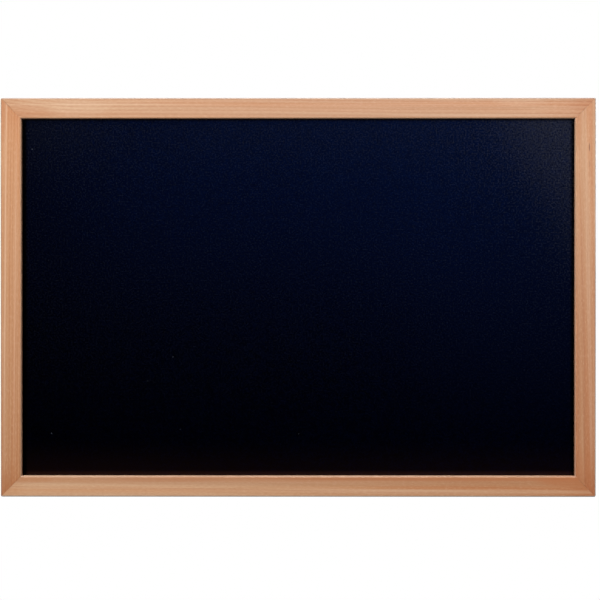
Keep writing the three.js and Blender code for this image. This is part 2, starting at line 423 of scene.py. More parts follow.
@dataclass(frozen=True)
class Finish:
    """A surface finish under one name."""

    name: str

    def material(self) -> Material:
        """The finish as a material.

        Returns:
            A new material whose shader comes from paint().
        """
        material = bpy.data.materials.new(self.name)
        bench = FinishBench.on(material)
        shader = bench.add("ShaderNodeBsdfPrincipled", sockets=self.paint(bench))
        bench.add("ShaderNodeOutputMaterial", sockets={"Surface": shader})
        return material

    def paint(self, bench: FinishBench) -> dict[str, Any]:
        """What the shader's sockets hold; each finish gives its own."""
        raise NotImplementedError


PITCH: Colour = (0.16, 0.055, 0.022)
AMBER: Colour = (0.34, 0.15, 0.07)
RED: Colour = (0.43, 0.14, 0.045)
GLUE: Colour = (0.24, 0.09, 0.035)
CREAM: Colour = (0.78, 0.59, 0.42)


@dataclass(frozen=True)
class Streak:
    """A lengthwise streak in the wood, by its place from the member's middle.

    Along rises to the right in a rail and upwards in a stile. Across rises outwards in the top rail
    and the left stile, and inwards in the other two.
    """

    along: float
    across: float
    half_length: float
    half_width: float
    strength: float
    colour: Colour = PITCH
    drift: float = 0.0

    def mask(self, along: Signal, across: Signal, fine: Signal) -> Signal:
        """Where its colour shows: a slim ellipse with a ragged edge.

        Args:
            along: The place along the member, from its middle.
            across: The place across it, from its middle.
            fine: The fine noise that frays the edge.

        Returns:
            How much of the streak's colour there is.
        """
        far = (along - self.along) / self.half_length
        wide = (across - self.across - along * self.drift) / self.half_width
        reach = far * far + wide * wide + (fine - 0.5) * 0.8
        return Fade(1.15, 0.15, self.strength).on(reach)


@dataclass(frozen=True)
class Wood:
    """One member's cut of softwood: its tones, its growth rings and the marks in it.

    The start is a rail's left end or a stile's foot.
    """

    seed: float
    tone_start: Colour
    tone_end: Colour
    pith_across: float
    pith_depth: float
    ring_pitch: float
    slant: float
    red_start: float
    red_end: float
    streaks: tuple[Streak, ...]
    late_strength: float = 0.45
    sweep: float = 0.0


WOODS = {
    Side.TOP: Wood(
        seed=11.0, tone_start=(0.567, 0.327, 0.188), tone_end=(0.511, 0.280, 0.154),
        pith_across=0.085, pith_depth=0.030, ring_pitch=0.0036, slant=0.006,
        red_start=0.35, red_end=0.75, late_strength=0.75, sweep=0.9,
        streaks=(
            Streak(-0.2935, -0.2895, 0.0085, 0.0009, 0.60, GLUE, -1.0),
            Streak(0.2900, -0.2895, 0.0110, 0.0007, 0.22, GLUE, 1.0),
            Streak(-0.275, -0.0045, 0.035, 0.0080, 0.22, RED),
            Streak(0.275, -0.0035, 0.032, 0.0080, 0.16, RED),
            Streak(-0.19, 0.0040, 0.13, 0.0008, 0.22, CREAM),
            Streak(-0.20, -0.0062, 0.13, 0.0024, 0.20, AMBER),
            Streak(0.18, 0.0009, 0.11, 0.0007, 0.28, AMBER),
            Streak(0.18, -0.0068, 0.12, 0.0014, 0.16, CREAM),
            Streak(0.10, 0.0034, 0.16, 0.0008, 0.12, CREAM),
            Streak(0.00, 0.0000, 0.20, 0.0140, 0.14, AMBER),
            Streak(0.09, -0.0064, 0.22, 0.0030, 0.18, AMBER),
            Streak(0.09, -0.0010, 0.16, 0.0040, 0.06, RED),
            Streak(-0.222, 0.0000, 0.036, 0.0100, 0.10, CREAM),
            Streak(0.225, 0.0060, 0.030, 0.0045, 0.10, CREAM),
        ),
    ),
    Side.BOTTOM: Wood(
        seed=23.0, tone_start=(0.603, 0.371, 0.223), tone_end=(0.485, 0.232, 0.106),
        pith_across=-0.070, pith_depth=0.055, ring_pitch=0.0048, slant=0.013,
        red_start=0.32, red_end=0.55,
        streaks=(
            Streak(-0.2900, 0.2895, 0.0110, 0.0007, 0.16, GLUE, 1.0),
            Streak(0.2900, 0.2895, 0.0110, 0.0007, 0.18, GLUE, -1.0),
            Streak(0.0, 0.0056, 0.60, 0.0062, 0.29, AMBER, -0.008),
            Streak(0.0, 0.0072, 0.60, 0.0030, 0.10, RED),
            Streak(-0.08, 0.0070, 0.20, 0.0032, 0.20, RED),
            Streak(-0.275, 0.0065, 0.032, 0.0045, 0.16, RED),
            Streak(0.28, -0.0060, 0.030, 0.0040, 0.16, RED),
            Streak(0.17, 0.0080, 0.25, 0.0024, 0.56, RED, -0.003),
            Streak(-0.13, 0.0072, 0.070, 0.0032, 0.22, RED),
            Streak(0.275, 0.0055, 0.038, 0.0065, 0.58, RED),
            Streak(0.18, -0.0055, 0.21, 0.0030, 0.14, CREAM),
            Streak(-0.19, -0.0016, 0.14, 0.0009, 0.15, CREAM),
            Streak(0.02, -0.0040, 0.20, 0.0018, 0.12, CREAM),
        ),
    ),
    Side.LEFT: Wood(
        seed=37.0, tone_start=(0.482, 0.245, 0.121), tone_end=(0.556, 0.267, 0.123),
        pith_across=0.110, pith_depth=0.015, ring_pitch=0.0029, slant=0.010,
        red_start=0.75, red_end=0.30, late_strength=0.65,
        streaks=(
            Streak(0.03, 0.0061, 0.24, 0.0009, 0.26, CREAM, -0.0085),
            Streak(0.00, -0.0042, 0.20, 0.0008, 0.20, CREAM, -0.010),
            Streak(0.05, 0.0015, 0.16, 0.0007, 0.18, AMBER, -0.010),
            Streak(-0.05, -0.0062, 0.16, 0.0007, 0.16, AMBER, -0.010),
            Streak(-0.02, -0.0040, 0.19, 0.0050, 0.06, CREAM),
            Streak(-0.03, 0.0062, 0.16, 0.0035, 0.06, CREAM),
            Streak(0.190, 0.0000, 0.026, 0.0110, 0.12, RED),
            Streak(0.180, 0.0080, 0.030, 0.0030, 0.26, RED),
            Streak(0.188, 0.0044, 0.024, 0.0010, 0.14, CREAM),
            Streak(-0.188, 0.0010, 0.030, 0.0090, 0.16, RED),
            Streak(-0.188, 0.0012, 0.030, 0.0008, 0.20, AMBER),
        ),
    ),
    Side.RIGHT: Wood(
        seed=41.0, tone_start=(0.433, 0.176, 0.073), tone_end=(0.524, 0.281, 0.147),
        pith_across=-0.090, pith_depth=0.045, ring_pitch=0.0052, slant=-0.017,
        red_start=0.60, red_end=0.25, late_strength=0.38,
        streaks=(
            Streak(-0.18, 0.0050, 0.038, 0.0052, 0.38, RED),
            Streak(0.180, 0.0068, 0.034, 0.0046, 0.27, RED),
            Streak(-0.18, -0.0025, 0.034, 0.0060, 0.20, RED),
            Streak(0.01, -0.0032, 0.22, 0.0022, 0.14, CREAM, 0.0167),
            Streak(-0.13, -0.0066, 0.050, 0.0028, 0.06, CREAM),
            Streak(-0.03, 0.0030, 0.20, 0.0030, 0.14, AMBER, 0.006),
            Streak(0.1514, -0.0039, 0.0052, 0.00075, 0.75),
            Streak(0.1345, -0.0041, 0.0048, 0.00060, 0.35),
            Streak(0.1255, -0.0043, 0.0060, 0.00050, 0.18),
        ),
    ),
}


@dataclass(frozen=True)
class PineFinish(Finish):
    """Satin-varnished softwood: growth rings cut lengthwise, fibres, and darker ends."""

    board: Board
    side: Side
    face: float
    wood: Wood
    wander_reach: float = 0.009
    ripple_reach: float = 0.0011
    sweep_length: float = 0.10
    late_tone: Colour = (0.80, 0.60, 0.44)
    dark_bands: Layer = Layer(0.42, 0.68, tone=(1.0, 0.87, 0.76))
    pale_bands: Layer = Layer(0.44, 0.24, 0.5, tone=(0.62, 0.41, 0.25), blend=Blend.OVER)
    dark_lines: Layer = Layer(0.45, 0.75, 0.42, tone=(0.86, 0.74, 0.62))
    pale_lines: Layer = Layer(0.46, 0.25, 0.30, tone=(0.70, 0.48, 0.31), blend=Blend.OVER)
    dark_fibre: Layer = Layer(0.5, 0.85, 0.35, tone=(0.78, 0.66, 0.55))
    dark_stroke: Layer = Layer(0.48, 0.72, 0.44, tone=(0.86, 0.76, 0.66))
    pale_stroke: Layer = Layer(0.50, 0.28, 0.15, tone=CREAM, blend=Blend.OVER)
    red_end: Layer = Layer(0.034, 0.004, tone=(0.86, 0.68, 0.54))
    near_front: Fade = Fade(0.0032, 0.0016)
    beyond_arris: Fade = Fade(0.012, 0.016)
    # painted highlight on the sight edge's rounding, and painted shade on the outer edge's rounding
    sight_edge: Layer = Layer(0.0014, 0.0002, 0.42, tone=(0.50, 0.43, 0.36), blend=Blend.OVER)
    outer_edge: Layer = Layer(0.0016, 0.0004, 0.44, tone=(0.34, 0.38, 0.38), blend=Blend.OVER)
    bare_back: Fade = Fade(0.0006, 0.0003)
    bare: Colour = (0.56, 0.40, 0.25)
    relief: float = 0.00006

    @property
    def centre(self) -> Triple:
        """The middle of the member's front face."""
        (x, z), (x_side, z_side) = self.board.edge(self.side), self.side.value
        return x - x_side * self.face / 2, self.board.front, z - z_side * self.face / 2

    @property
    def half_length(self) -> float:
        """Half the member's outer length."""
        return self.board.length(self.side) / 2

    def paint(self, bench: FinishBench) -> dict[str, Any]:
        """Colour from rings, bands, fibres and streaks; a faint relief along the fibres.

        Args:
            bench: Where the nodes go.

        Returns:
            A signal or a value for each of the shader's sockets.
        """
        wood, grain = self.wood, self.side.kind.value
        place, seed = bench.place(), wood.seed
        local = self._from_middle(bench, place, grain)
        grown = self._from_middle(bench, place, grain + wood.slant)
        along, _, across = bench.split(local)
        late = self._latewood(bench, grown)
        fine = bench.noise(grown, (9.0, 620.0, 620.0), seed + 3, 3.0, 0.6)
        fibre = bench.noise(grown, (150.0, 3000.0, 3000.0), seed + 5, 2.0, 0.6)
        stroke = bench.noise(grown, (230.0, 900.0, 900.0), seed + 13, 2.0, 0.6)
        bands = bench.noise(grown, (2.2, 130.0, 130.0), seed + 7, 1.0)

        share = (along / self.half_length + 1.0) * 0.5
        colour = bench.mix(Fade(0.0, 1.0).on(share), wood.tone_start, wood.tone_end)
        colour = self.dark_bands.over(colour, bands)
        colour = self.pale_bands.over(colour, bands)
        colour = bench.tint(late * wood.late_strength, colour, self.late_tone)
        colour = self.dark_lines.over(colour, fine)
        colour = self.pale_lines.over(colour, fine)
        colour = self.dark_fibre.over(colour, fibre)
        colour = self.dark_stroke.over(colour, stroke)
        colour = self.pale_stroke.over(colour, stroke)

        ragged = along + (bands - 0.5) * 0.03 + (fine - 0.5) * 0.012
        for way, strength in ((-1.0, wood.red_start), (1.0, wood.red_end)):
            colour = self.red_end.over(colour, self.half_length - ragged * way, strength)
        for streak in wood.streaks:
            colour = bench.mix(streak.mask(along, across, fine), colour, streak.colour)

        # painted highlight on the sight edge and painted shade on the outer edge
        colour = self._worn(bench, place, across, colour)
        raw = self.bare_back.on(self.board.back - bench.split(place)[1])
        saw = bench.noise(local, (900.0, 60.0, 30.0), seed + 9, 2.0)
        height = fine * 0.45 + fibre * 0.35 + late * 0.3 + saw * raw * 0.5
        return {
            "Base Color": bench.mix(raw * 0.35, colour, self.bare),
            "Roughness": 0.38 + late * 0.06 + (fine - 0.5) * 0.10 + raw * 0.34,
            "Normal": bench.bump(height, self.relief, 0.8),
            "Specular IOR Level": 0.5,
        }

    def _from_middle(self, bench: FinishBench, place: Signal, turn: float) -> Signal:
        """A place as seen from the member's middle, in a frame turned about Y."""
        sockets = {"Vector": place, "Location": self.centre, "Rotation": (0.0, turn, 0.0)}
        return bench.add("ShaderNodeMapping", {"vector_type": "TEXTURE"}, sockets)

    def _latewood(self, bench: FinishBench, grown: Signal) -> Signal:
        """The dark part of each growth ring.

        Args:
            bench: Where the nodes go.
            grown: The place from the member's middle, fibres along X.

        Returns:
            A mask that is 1 in the darkest latewood.
        """
        wood = self.wood
        along, depth, across = bench.split(grown)
        wander = bench.noise(grown, (2.6, 11.0, 11.0), wood.seed, 2.0) - 0.5
        ripple = bench.noise(grown, (14.0, 70.0, 70.0), wood.seed + 1, 2.0) - 0.5
        inland = (0.0 - along - (self.half_length - self.sweep_length)).math("MAXIMUM", 0.0)
        side = across - wood.pith_across - inland * inland * wood.sweep
        back = depth - wood.pith_depth
        radius = (side * side + back * back).math("SQRT")
        radius = radius + wander * self.wander_reach + ripple * self.ripple_reach
        rings = radius / wood.ring_pitch
        year = rings.math("FLOOR") + wood.seed * 13.0
        vigour = bench.add("ShaderNodeTexWhiteNoise", {"noise_dimensions": "1D"}, {"W": year})
        stops = [(0.0, 0.25), (0.08, 0.0), (0.45, 0.1), (0.78, 0.7), (0.92, 1.0), (1.0, 0.25)]
        late = bench.ramp(rings.math("FRACT"), stops)
        return late * (0.35 + vigour * 0.65)

    def _worn(self, bench: FinishBench, place: Signal, across: Signal, colour: Signal) -> Signal:
        """Paints a pale highlight on the sight edge's rounding and shade on the outer edge's rounding.

        Args:
            bench: Where the nodes go.
            place: The place on the board.
            across: The place across the member, from its middle.
            colour: The wood's colour.

        Returns:
            The colour with the painted highlight and shade on its two front edges.
        """
        x, y, z = bench.split(place)
        board, middle = self.board, self.board.centre
        beside = board.width / 2 - (x - middle.x).math("ABSOLUTE")
        inland = beside.math("MINIMUM", board.height / 2 - (z - middle.z).math("ABSOLUTE"))
        front = self.near_front.on(y - board.front)
        within = self.face / 2 - across.math("ABSOLUTE")
        # painted highlight on the sight edge's rounding
        colour = self.sight_edge.over(colour, within, self.beyond_arris.on(inland) * front)
        # painted shade on the outer edge's rounding
        return self.outer_edge.over(colour, inland, front)


@dataclass(frozen=True)
class LacquerFinish(Finish):
    """The sprayed blue-black writing surface, with a fine orange peel and a little chalk dust.

    A painted sheen lies in the coat weight: a glow towards the upper right and a veil along the top.
    Along the top and the sides the rim gets a painted shadow of the lip: it turns metallic and loses its
    coat. A brown band along the lower edge is a painted reflection of the lit bottom lip.
    """

    half_width: float
    top: float
    bottom: float
    colour: Colour = (0.0001, 0.0, 0.0001)
    haze: Colour = (0.03, 0.17, 1.0)
    # tone of the chalk specks, and of the painted sheen mottle towards the top
    speck: Colour = (0.050, 0.055, 0.065)
    # tone of the painted reflection of the lit bottom lip
    grime: Colour = (0.13, 0.048, 0.026)
    # strengths of the painted sheen in the coat weight: towards the upper right, and along the top
    film: float = 0.113
    thin_film: float = 0.032
    grain: float = 0.23
    gloss: float = 0.081
    roughness: float = 0.248
    coat_roughness: float = 0.27
    coat_loss: float = 0.021
    # where the painted reflection of the bottom lip lies: a line along the lower edge, a haze above it,
    # stronger to the left
    grime_line: Fade = Fade(0.0108, 0.0060, 0.064)
    grime_haze: Fade = Fade(0.045, 0.004, 0.017)
    grime_left: Fade = Fade(0.0, -0.25, 0.4)
    # where the painted sheen lies: towards the upper right, and a veil along the top that grows to the
    # left; calmer in the top middle
    film_corner: Fade = Fade(0.17, 0.285)
    film_fringe: Fade = Fade(0.10, 0.19, 0.12)
    veil_up: Fade = Fade(-0.115, 0.020)
    veil_left: Fade = Fade(-0.14, -0.27, 1.1)
    calm_middle: Fade = Fade(0.20, 0.10)
    calm_up: Fade = Fade(-0.12, -0.05)
    # where the painted sheen mottle lies: towards the top
    bloom_up: Fade = Fade(-0.38, -0.14, 0.27)
    speck_scale: float = 38.0
    speck_edge: Fade = Fade(0.022, 0.008)
    speck_chance: Fade = Fade(0.97, 0.99)
    spots: tuple[Flat, ...] = ((-0.2496, -0.3086), (-0.2690, -0.0212))
    spot_edge: Fade = Fade(0.0008, 0.0002)
    # where the painted shadow of the lip lies along the top and the sides of the rim
    rim_middle: float = 0.0006
    rim_beside: Fade = Fade(0.0066, 0.0108)
    rim_above: Fade = Fade(0.0042, 0.0082)
    relief: float = 0.00012

    def paint(self, bench: FinishBench) -> dict[str, Any]:
        """A nearly black colour whose gloss is broken by the peel; a metallic share paints the lip's
        shadow on the rim.

        Args:
            bench: Where the nodes go.

        Returns:
            A signal or a value for each of the shader's sockets.
        """
        place = bench.place()
        x, _, z = bench.split(place)
        peel = bench.noise(place, 520.0, 2.0, 2.0, 0.55)
        cloud = bench.noise(place, 14.0, 4.0, 3.0)
        mottle = bench.noise(place, 170.0, 8.0, 2.0) - 0.5
        grain = bench.noise(place, 640.0, 6.0, 1.0) - 0.5

        # chalk dust, with a painted sheen mottle towards the top
        colour = bench.mix(self._dust(bench, x, z, grain), self.colour, self.speck)
        # painted reflection: a brown band along the lower edge, where the lit bottom lip would show in
        # the lacquer
        risen = z - self.bottom
        lip_reflection = self.grime_line.on(risen)
        lip_reflection = lip_reflection + self.grime_haze.on(risen) * (1.0 + self.grime_left.on(x))

        # painted sheen: coat weight laid out by place, a glow towards the upper right and a veil along
        # the top, calmer in the top middle
        corner = x + z * 0.5
        film = (self.film_corner.on(corner) + self.film_fringe.on(corner)) * self.film
        film = film * (1.0 + grain * 2.8 + (cloud - 0.5) * 0.7)
        top_sheen = self.veil_up.on(z) * (1.0 + self.veil_left.on(x)) * self.thin_film
        calm = self.calm_middle.on(x.math("ABSOLUTE")) * self.calm_up.on(z)
        coat = film + top_sheen + grain * self.grain * (1.0 - calm * 0.55)
        coat = coat + calm * 0.005 - self.coat_loss

        # painted shadow of the lip: along the top and the sides the rim turns metallic and loses its
        # coat, which darkens it
        clear_of_lip_shadow = self.rim_beside.on(self.half_width - (x - self.rim_middle).math("ABSOLUTE"))
        clear_of_lip_shadow = clear_of_lip_shadow * self.rim_above.on(self.top - z)
        return {
            # the colour with the painted reflection of the bottom lip
            "Base Color": bench.mix(lip_reflection, colour, self.grime),
            "Roughness": self.roughness + (peel - 0.5) * 0.34 + (cloud - 0.5) * 0.03 + mottle * 0.20,
            "Metallic": 1.0 - clear_of_lip_shadow,
            "Normal": bench.bump(peel, self.relief, 0.6),
            "Specular IOR Level": self.gloss,
            "Specular Tint": self.haze,
            "Coat Weight": (coat * clear_of_lip_shadow).math("MAXIMUM", 0.0),
            "Coat Roughness": self.coat_roughness,
        }

    def _dust(self, bench: FinishBench, x: Signal, z: Signal, grain: Signal) -> Signal:
        """Chalk dust: scattered specks and the two plainest spots, with a painted sheen mottle towards
        the top.

        Args:
            bench: Where the nodes go.
            x: The place from left to right.
            z: The height.
            grain: Fine noise about zero.

        Returns:
            How much dust and painted sheen mottle there is.
        """
        sockets = {"Vector": bench.join(x, z, 0.0), "Scale": self.speck_scale}
        cells = bench.add("ShaderNodeTexVoronoi", {"voronoi_dimensions": "2D"}, sockets)
        sockets = {"Vector": cells.other("Position")}
        chance = bench.add("ShaderNodeTexWhiteNoise", {"noise_dimensions": "3D"}, sockets)
        dust = self.speck_edge.on(cells) * self.speck_chance.on(chance)
        # painted sheen mottle: fine grain in the colour, growing towards the lit top
        dust = dust.math("MAXIMUM", (grain + 0.01) * self.bloom_up.on(z))
        for spot_x, spot_z in self.spots:
            off_x, off_z = x - spot_x, z - spot_z
            away = (off_x * off_x + off_z * off_z).math("SQRT")
            dust = dust.math("MAXIMUM", self.spot_edge.on(away))
        return dust


@dataclass(frozen=True)
class HardboardFinish(Finish):
    """Brown hardboard: the print of the press screen on the back, fibres, sprayed edges."""

    front: float
    colour: Colour = (0.155, 0.082, 0.042)
    overspray: Layer = Layer(0.0009, 0.0004, tone=(0.004, 0.004, 0.006), blend=Blend.OVER)
    dark_fibre: Layer = Layer(0.4, 0.7, tone=(0.62, 0.56, 0.50))
    pale_flakes: Layer = Layer(0.56, 0.72, 0.45, tone=(0.30, 0.18, 0.10), blend=Blend.OVER)
    dark_clouds: Layer = Layer(0.35, 0.7, 0.5, tone=(0.78, 0.74, 0.70))
    # tone of the painted shade in the hollows of the screen relief
    hollow_tone: Colour = (0.66, 0.62, 0.58)
    screen_pitch: float = 0.0016
    relief: float = 0.00016

    def paint(self, bench: FinishBench) -> dict[str, Any]:
        """Fibre colour with a screen relief whose hollows get painted shade; overspray lies on the edge
        next to the front.

        Args:
            bench: Where the nodes go.

        Returns:
            A signal or a value for each of the shader's sockets.
        """
        place = bench.place()
        x, y, z = bench.split(place)
        turn = math.tau / self.screen_pitch
        weave = (x * turn).math("SINE") * (z * turn).math("SINE") * 0.5 + 0.5
        fibre = bench.noise(place, 900.0, 1.0, 4.0, 0.65)
        flakes = bench.noise(place, 190.0, 3.0, 3.0, 0.6)
        cloud = bench.noise(place, 16.0, 5.0, 2.0)
        colour = self.dark_fibre.over(self.colour, fibre)
        colour = self.pale_flakes.over(colour, flakes)
        colour = self.dark_clouds.over(colour, cloud)
        # painted shade: the hollows of the screen relief are darkened
        colour = bench.tint((1.0 - weave) * 0.45, colour, self.hollow_tone)
        edge = y - self.front + (flakes - 0.5) * 0.0012
        return {
            "Base Color": self.overspray.over(colour, edge),
            "Roughness": 0.70 + fibre * 0.18,
            "Normal": bench.bump(weave * 0.7 + fibre * 0.3, self.relief, 0.8),
        }


@dataclass(frozen=True)
class PlatedFinish(Finish):
    """Metal with a thin plating: clouded tone, draw marks and darker specks."""

    colour: Colour
    tarnish: Colour
    roughness: float
    mark_scale: float | Triple
    seed: float
    dulled: Fade = Fade(0.40, 0.72, 0.6)
    dark_specks: Layer = Layer(0.66, 0.8, 0.6, tone=(0.45, 0.40, 0.36))
    lost_plating: Fade = Fade(0.62, 0.8, 0.25)
    relief: float = 0.00003

    def paint(self, bench: FinishBench) -> dict[str, Any]:
        """Metal whose tone and gloss change in clouds and along fine marks.

        Args:
            bench: Where the nodes go.

        Returns:
            A signal or a value for each of the shader's sockets.
        """
        place = bench.place()
        cloud = bench.noise(place, 210.0, self.seed, 4.0, 0.6)
        # clouds of grime where the plating has worn off
        grime = bench.noise(place, 95.0, self.seed + 2, 3.0)
        marks = bench.noise(place, self.mark_scale, self.seed + 4, 2.0, 0.6)
        specks = bench.noise(place, 1500.0, self.seed + 6, 1.0)
        colour = bench.mix(self.dulled.on(cloud), self.colour, self.tarnish)
        return {
            "Base Color": self.dark_specks.over(colour, specks),
            "Metallic": 1.0 - self.lost_plating.on(grime),
            "Roughness": self.roughness + (cloud - 0.5) * 0.22 + (marks - 0.5) * 0.16,
            "Normal": bench.bump(marks * 0.6 + cloud * 0.4, self.relief, 0.7),
        }


@dataclass(frozen=True)
class RubberFinish(Finish):
    """Moulded black rubber: matt, faintly pitted, with a little dust."""

    colour: Colour = (0.017, 0.017, 0.018)
    dust: Layer = Layer(0.45, 0.8, 0.5, tone=(0.075, 0.070, 0.064), blend=Blend.OVER)
    relief: float = 0.00004

    def paint(self, bench: FinishBench) -> dict[str, Any]:
        """Dark matt rubber with dust in soft clouds.

        Args:
            bench: Where the nodes go.

        Returns:
            A signal or a value for each of the shader's sockets.
        """
        place = bench.place()
        pits = bench.noise(place, 2600.0, 1.0, 2.0, 0.6)
        cloud = bench.noise(place, 420.0, 3.0, 3.0, 0.6)
        return {
            "Base Color": self.dust.over(self.colour, cloud),
            "Roughness": 0.68 + cloud * 0.2,
            "Normal": bench.bump(pits, self.relief, 0.6),
        }


def arc(centre: Flat, radius: float, start: float, end: float, steps: int) -> list[Flat]:
    """Points on a round stretch of an outline.

    Args:
        centre: The arc's centre.
        radius: Its radius.
        start: The angle of the first point, in degrees.
        end: The angle of the last point, in degrees.
        steps: How many chords it has.

    Returns:
        The points, both ends included.
    """
    angles = [math.radians(start + (end - start) * i / steps) for i in range(steps + 1)]
    return [(centre[0] + radius * math.cos(a), centre[1] + radius * math.sin(a)) for a in angles]


def outward_mesh(name: str, shell: bmesh.types.BMesh) -> Mesh:
    """A closed shell as a mesh, its doubles merged and its faces turned outwards.

    Args:
        name: The mesh's name.
        shell: The shell, which is used up.

    Returns:
        The mesh.
    """
    bmesh.ops.remove_doubles(shell, verts=shell.verts[:], dist=1e-7)
    bmesh.ops.recalc_face_normals(shell, faces=shell.faces[:])
    return plain_mesh(name, shell)


def plain_mesh(name: str, shell: bmesh.types.BMesh) -> Mesh:
    """A shell as a mesh, as it is.

    Args:
        name: The mesh's name.
        shell: The shell, which is used up.

    Returns:
        The mesh.
    """
    mesh = bpy.data.meshes.new(name)
    shell.to_mesh(mesh)
    shell.free()
    return mesh


def loft(name: str, rings: Sequence[Sequence[Vector]]) -> Mesh:
    """A closed mesh through rings of points, with a flat face over each end ring.

    Args:
        name: The mesh's name.
        rings: Rings of equally many points.

    Returns:
        The mesh, facing outwards.
    """
    shell = bmesh.new()
    rows = [[shell.verts.new(point) for point in ring] for ring in rings]
    count = len(rows[0])
    for lower, upper in zip(rows, rows[1:]):
        for i in range(count):
            j = (i + 1) % count
            shell.faces.new((lower[i], lower[j], upper[j], upper[i]))
    shell.faces.new(rows[0])
    shell.faces.new(rows[-1])
    return outward_mesh(name, shell)


def prism(name: str, outline: Sequence[Flat], low: float, high: float) -> Mesh:
    """A plate with an outline in X and Z, between two planes along Y."""
    return loft(name, [[Vector((x, y, z)) for x, z in outline] for y in (low, high)])


def around(sides: int) -> list[float]:
    """The angles of the corners of a round piece."""
    return [math.tau * i / sides for i in range(sides)]


def turned_rings(profile: Sequence[Flat], sides: int) -> list[list[Vector]]:
    """The rings of a turned shape about Y, from each ring's radius and height."""
    return [[Vector((r * math.cos(a), y, r * math.sin(a))) for a in around(sides)] for r, y in profile]


def joined(name: str, meshes: Sequence[Mesh]) -> Mesh:
    """Several meshes as one.

    Args:
        name: The new mesh's name.
        meshes: The meshes, which stay as they are.

    Returns:
        The new mesh.
    """
    shell = bmesh.new()
    for mesh in meshes:
        shell.from_mesh(mesh)
    return plain_mesh(name, shell)


def linked(data: bpy.types.ID) -> Object:
    """A new object in the scene, under the name of its data.

    Args:
        data: A mesh, a curve, a light or a camera.

    Returns:
        The object, at the origin.
    """
    item = bpy.data.objects.new(data.name, data)
    bpy.context.scene.collection.objects.link(item)
    return item


def discard(*items: Object) -> None:
    """Removes helper objects that have done their work."""
    for item in items:
        bpy.data.objects.remove(item)


def solids(prefix: str) -> list[str]:
    """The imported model's solids whose names begin like that, in order."""
    return sorted(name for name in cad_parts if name.startswith(prefix))


def middle_of(name: str) -> Vector:
    """The middle of a solid's box."""
    return sum(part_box(name), Vector()) / 2


def path(name: str, points: Sequence[Sequence[float]], closed: bool) -> Object:
    """A curve through points, as a guide for a shape tree.

    Args:
        name: The object's name.
        points: Two or three numbers each.
        closed: Whether the last point joins the first.

    Returns:
        The curve object, which the caller removes.
    """
    curve = bpy.data.curves.new(name, "CURVE")
    curve.dimensions = "3D"
    spline = curve.splines.new("POLY")
    spline.points.add(len(points) - 1)
    for target, point in zip(spline.points, points):
        target.co = (*point, *([0.0] * (3 - len(point))), 1.0)
    spline.use_cyclic_u = closed
    return linked(curve)


def settle(item: Object) -> Object:
    """Turns what the modifiers make into the object's own plain mesh, and removes them.

    Args:
        item: An object with modifiers.

    Returns:
        The same object.
    """
    depsgraph = bpy.context.evaluated_depsgraph_get()
    evaluated = item.evaluated_get(depsgraph)
    mesh = bpy.data.meshes.new_from_object(
        evaluated, preserve_all_data_layers=True, depsgraph=depsgraph
    )
    item.modifiers.clear()
    item.data = mesh
    return item


def soften(item: Object, bevel: float = 0.0) -> Object:
    """Rounds the sharp edges, if asked, and shades round stretches smooth.

    Args:
        item: A mesh object.
        bevel: The width of the rounding in metres, or zero for none.

    Returns:
        The same object with a plain mesh.
    """
    if bevel:
        rounding = item.modifiers.new("rounding", "BEVEL")
        rounding.width = bevel
        rounding.segments = 2
        rounding.limit_method = "ANGLE"
        rounding.angle_limit = ROUND_ABOVE
        rounding.use_clamp_overlap = True
        settle(item)
    item.data.shade_smooth()
    item.data.set_sharp_from_angle(angle=SMOOTH_BELOW)
    weights = item.modifiers.new("weights", "WEIGHTED_NORMAL")
    weights.keep_sharp = True
    return settle(item)


def carve(item: Object, cutter: Mesh, cut: Cut = Cut.AWAY) -> Object:
    """Cuts a mesh out of an object, or keeps only what they share.

    Args:
        item: The object.
        cutter: The mesh that cuts it.
        cut: What is taken away.

    Returns:
        The same object.
    """
    tool = linked(cutter)
    boolean = item.modifiers.new("cut", "BOOLEAN")
    boolean.operation = cut.value
    boolean.solver = "EXACT"
    boolean.object = tool
    settle(item)
    discard(tool)
    return item


def deliver(item: Object, body: str, nodes: Sequence[str]) -> None:
    """Fastens a finished piece to its body and lets it stand for its solids.

    Args:
        item: The piece, in place.
        body: The body that it moves with.
        nodes: The solids that it stands for.
    """
    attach(item, body)
    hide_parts(*nodes)
    log.info("%s: %d faces on %s, for %d solids", item.name, len(item.data.polygons), body, len(nodes))


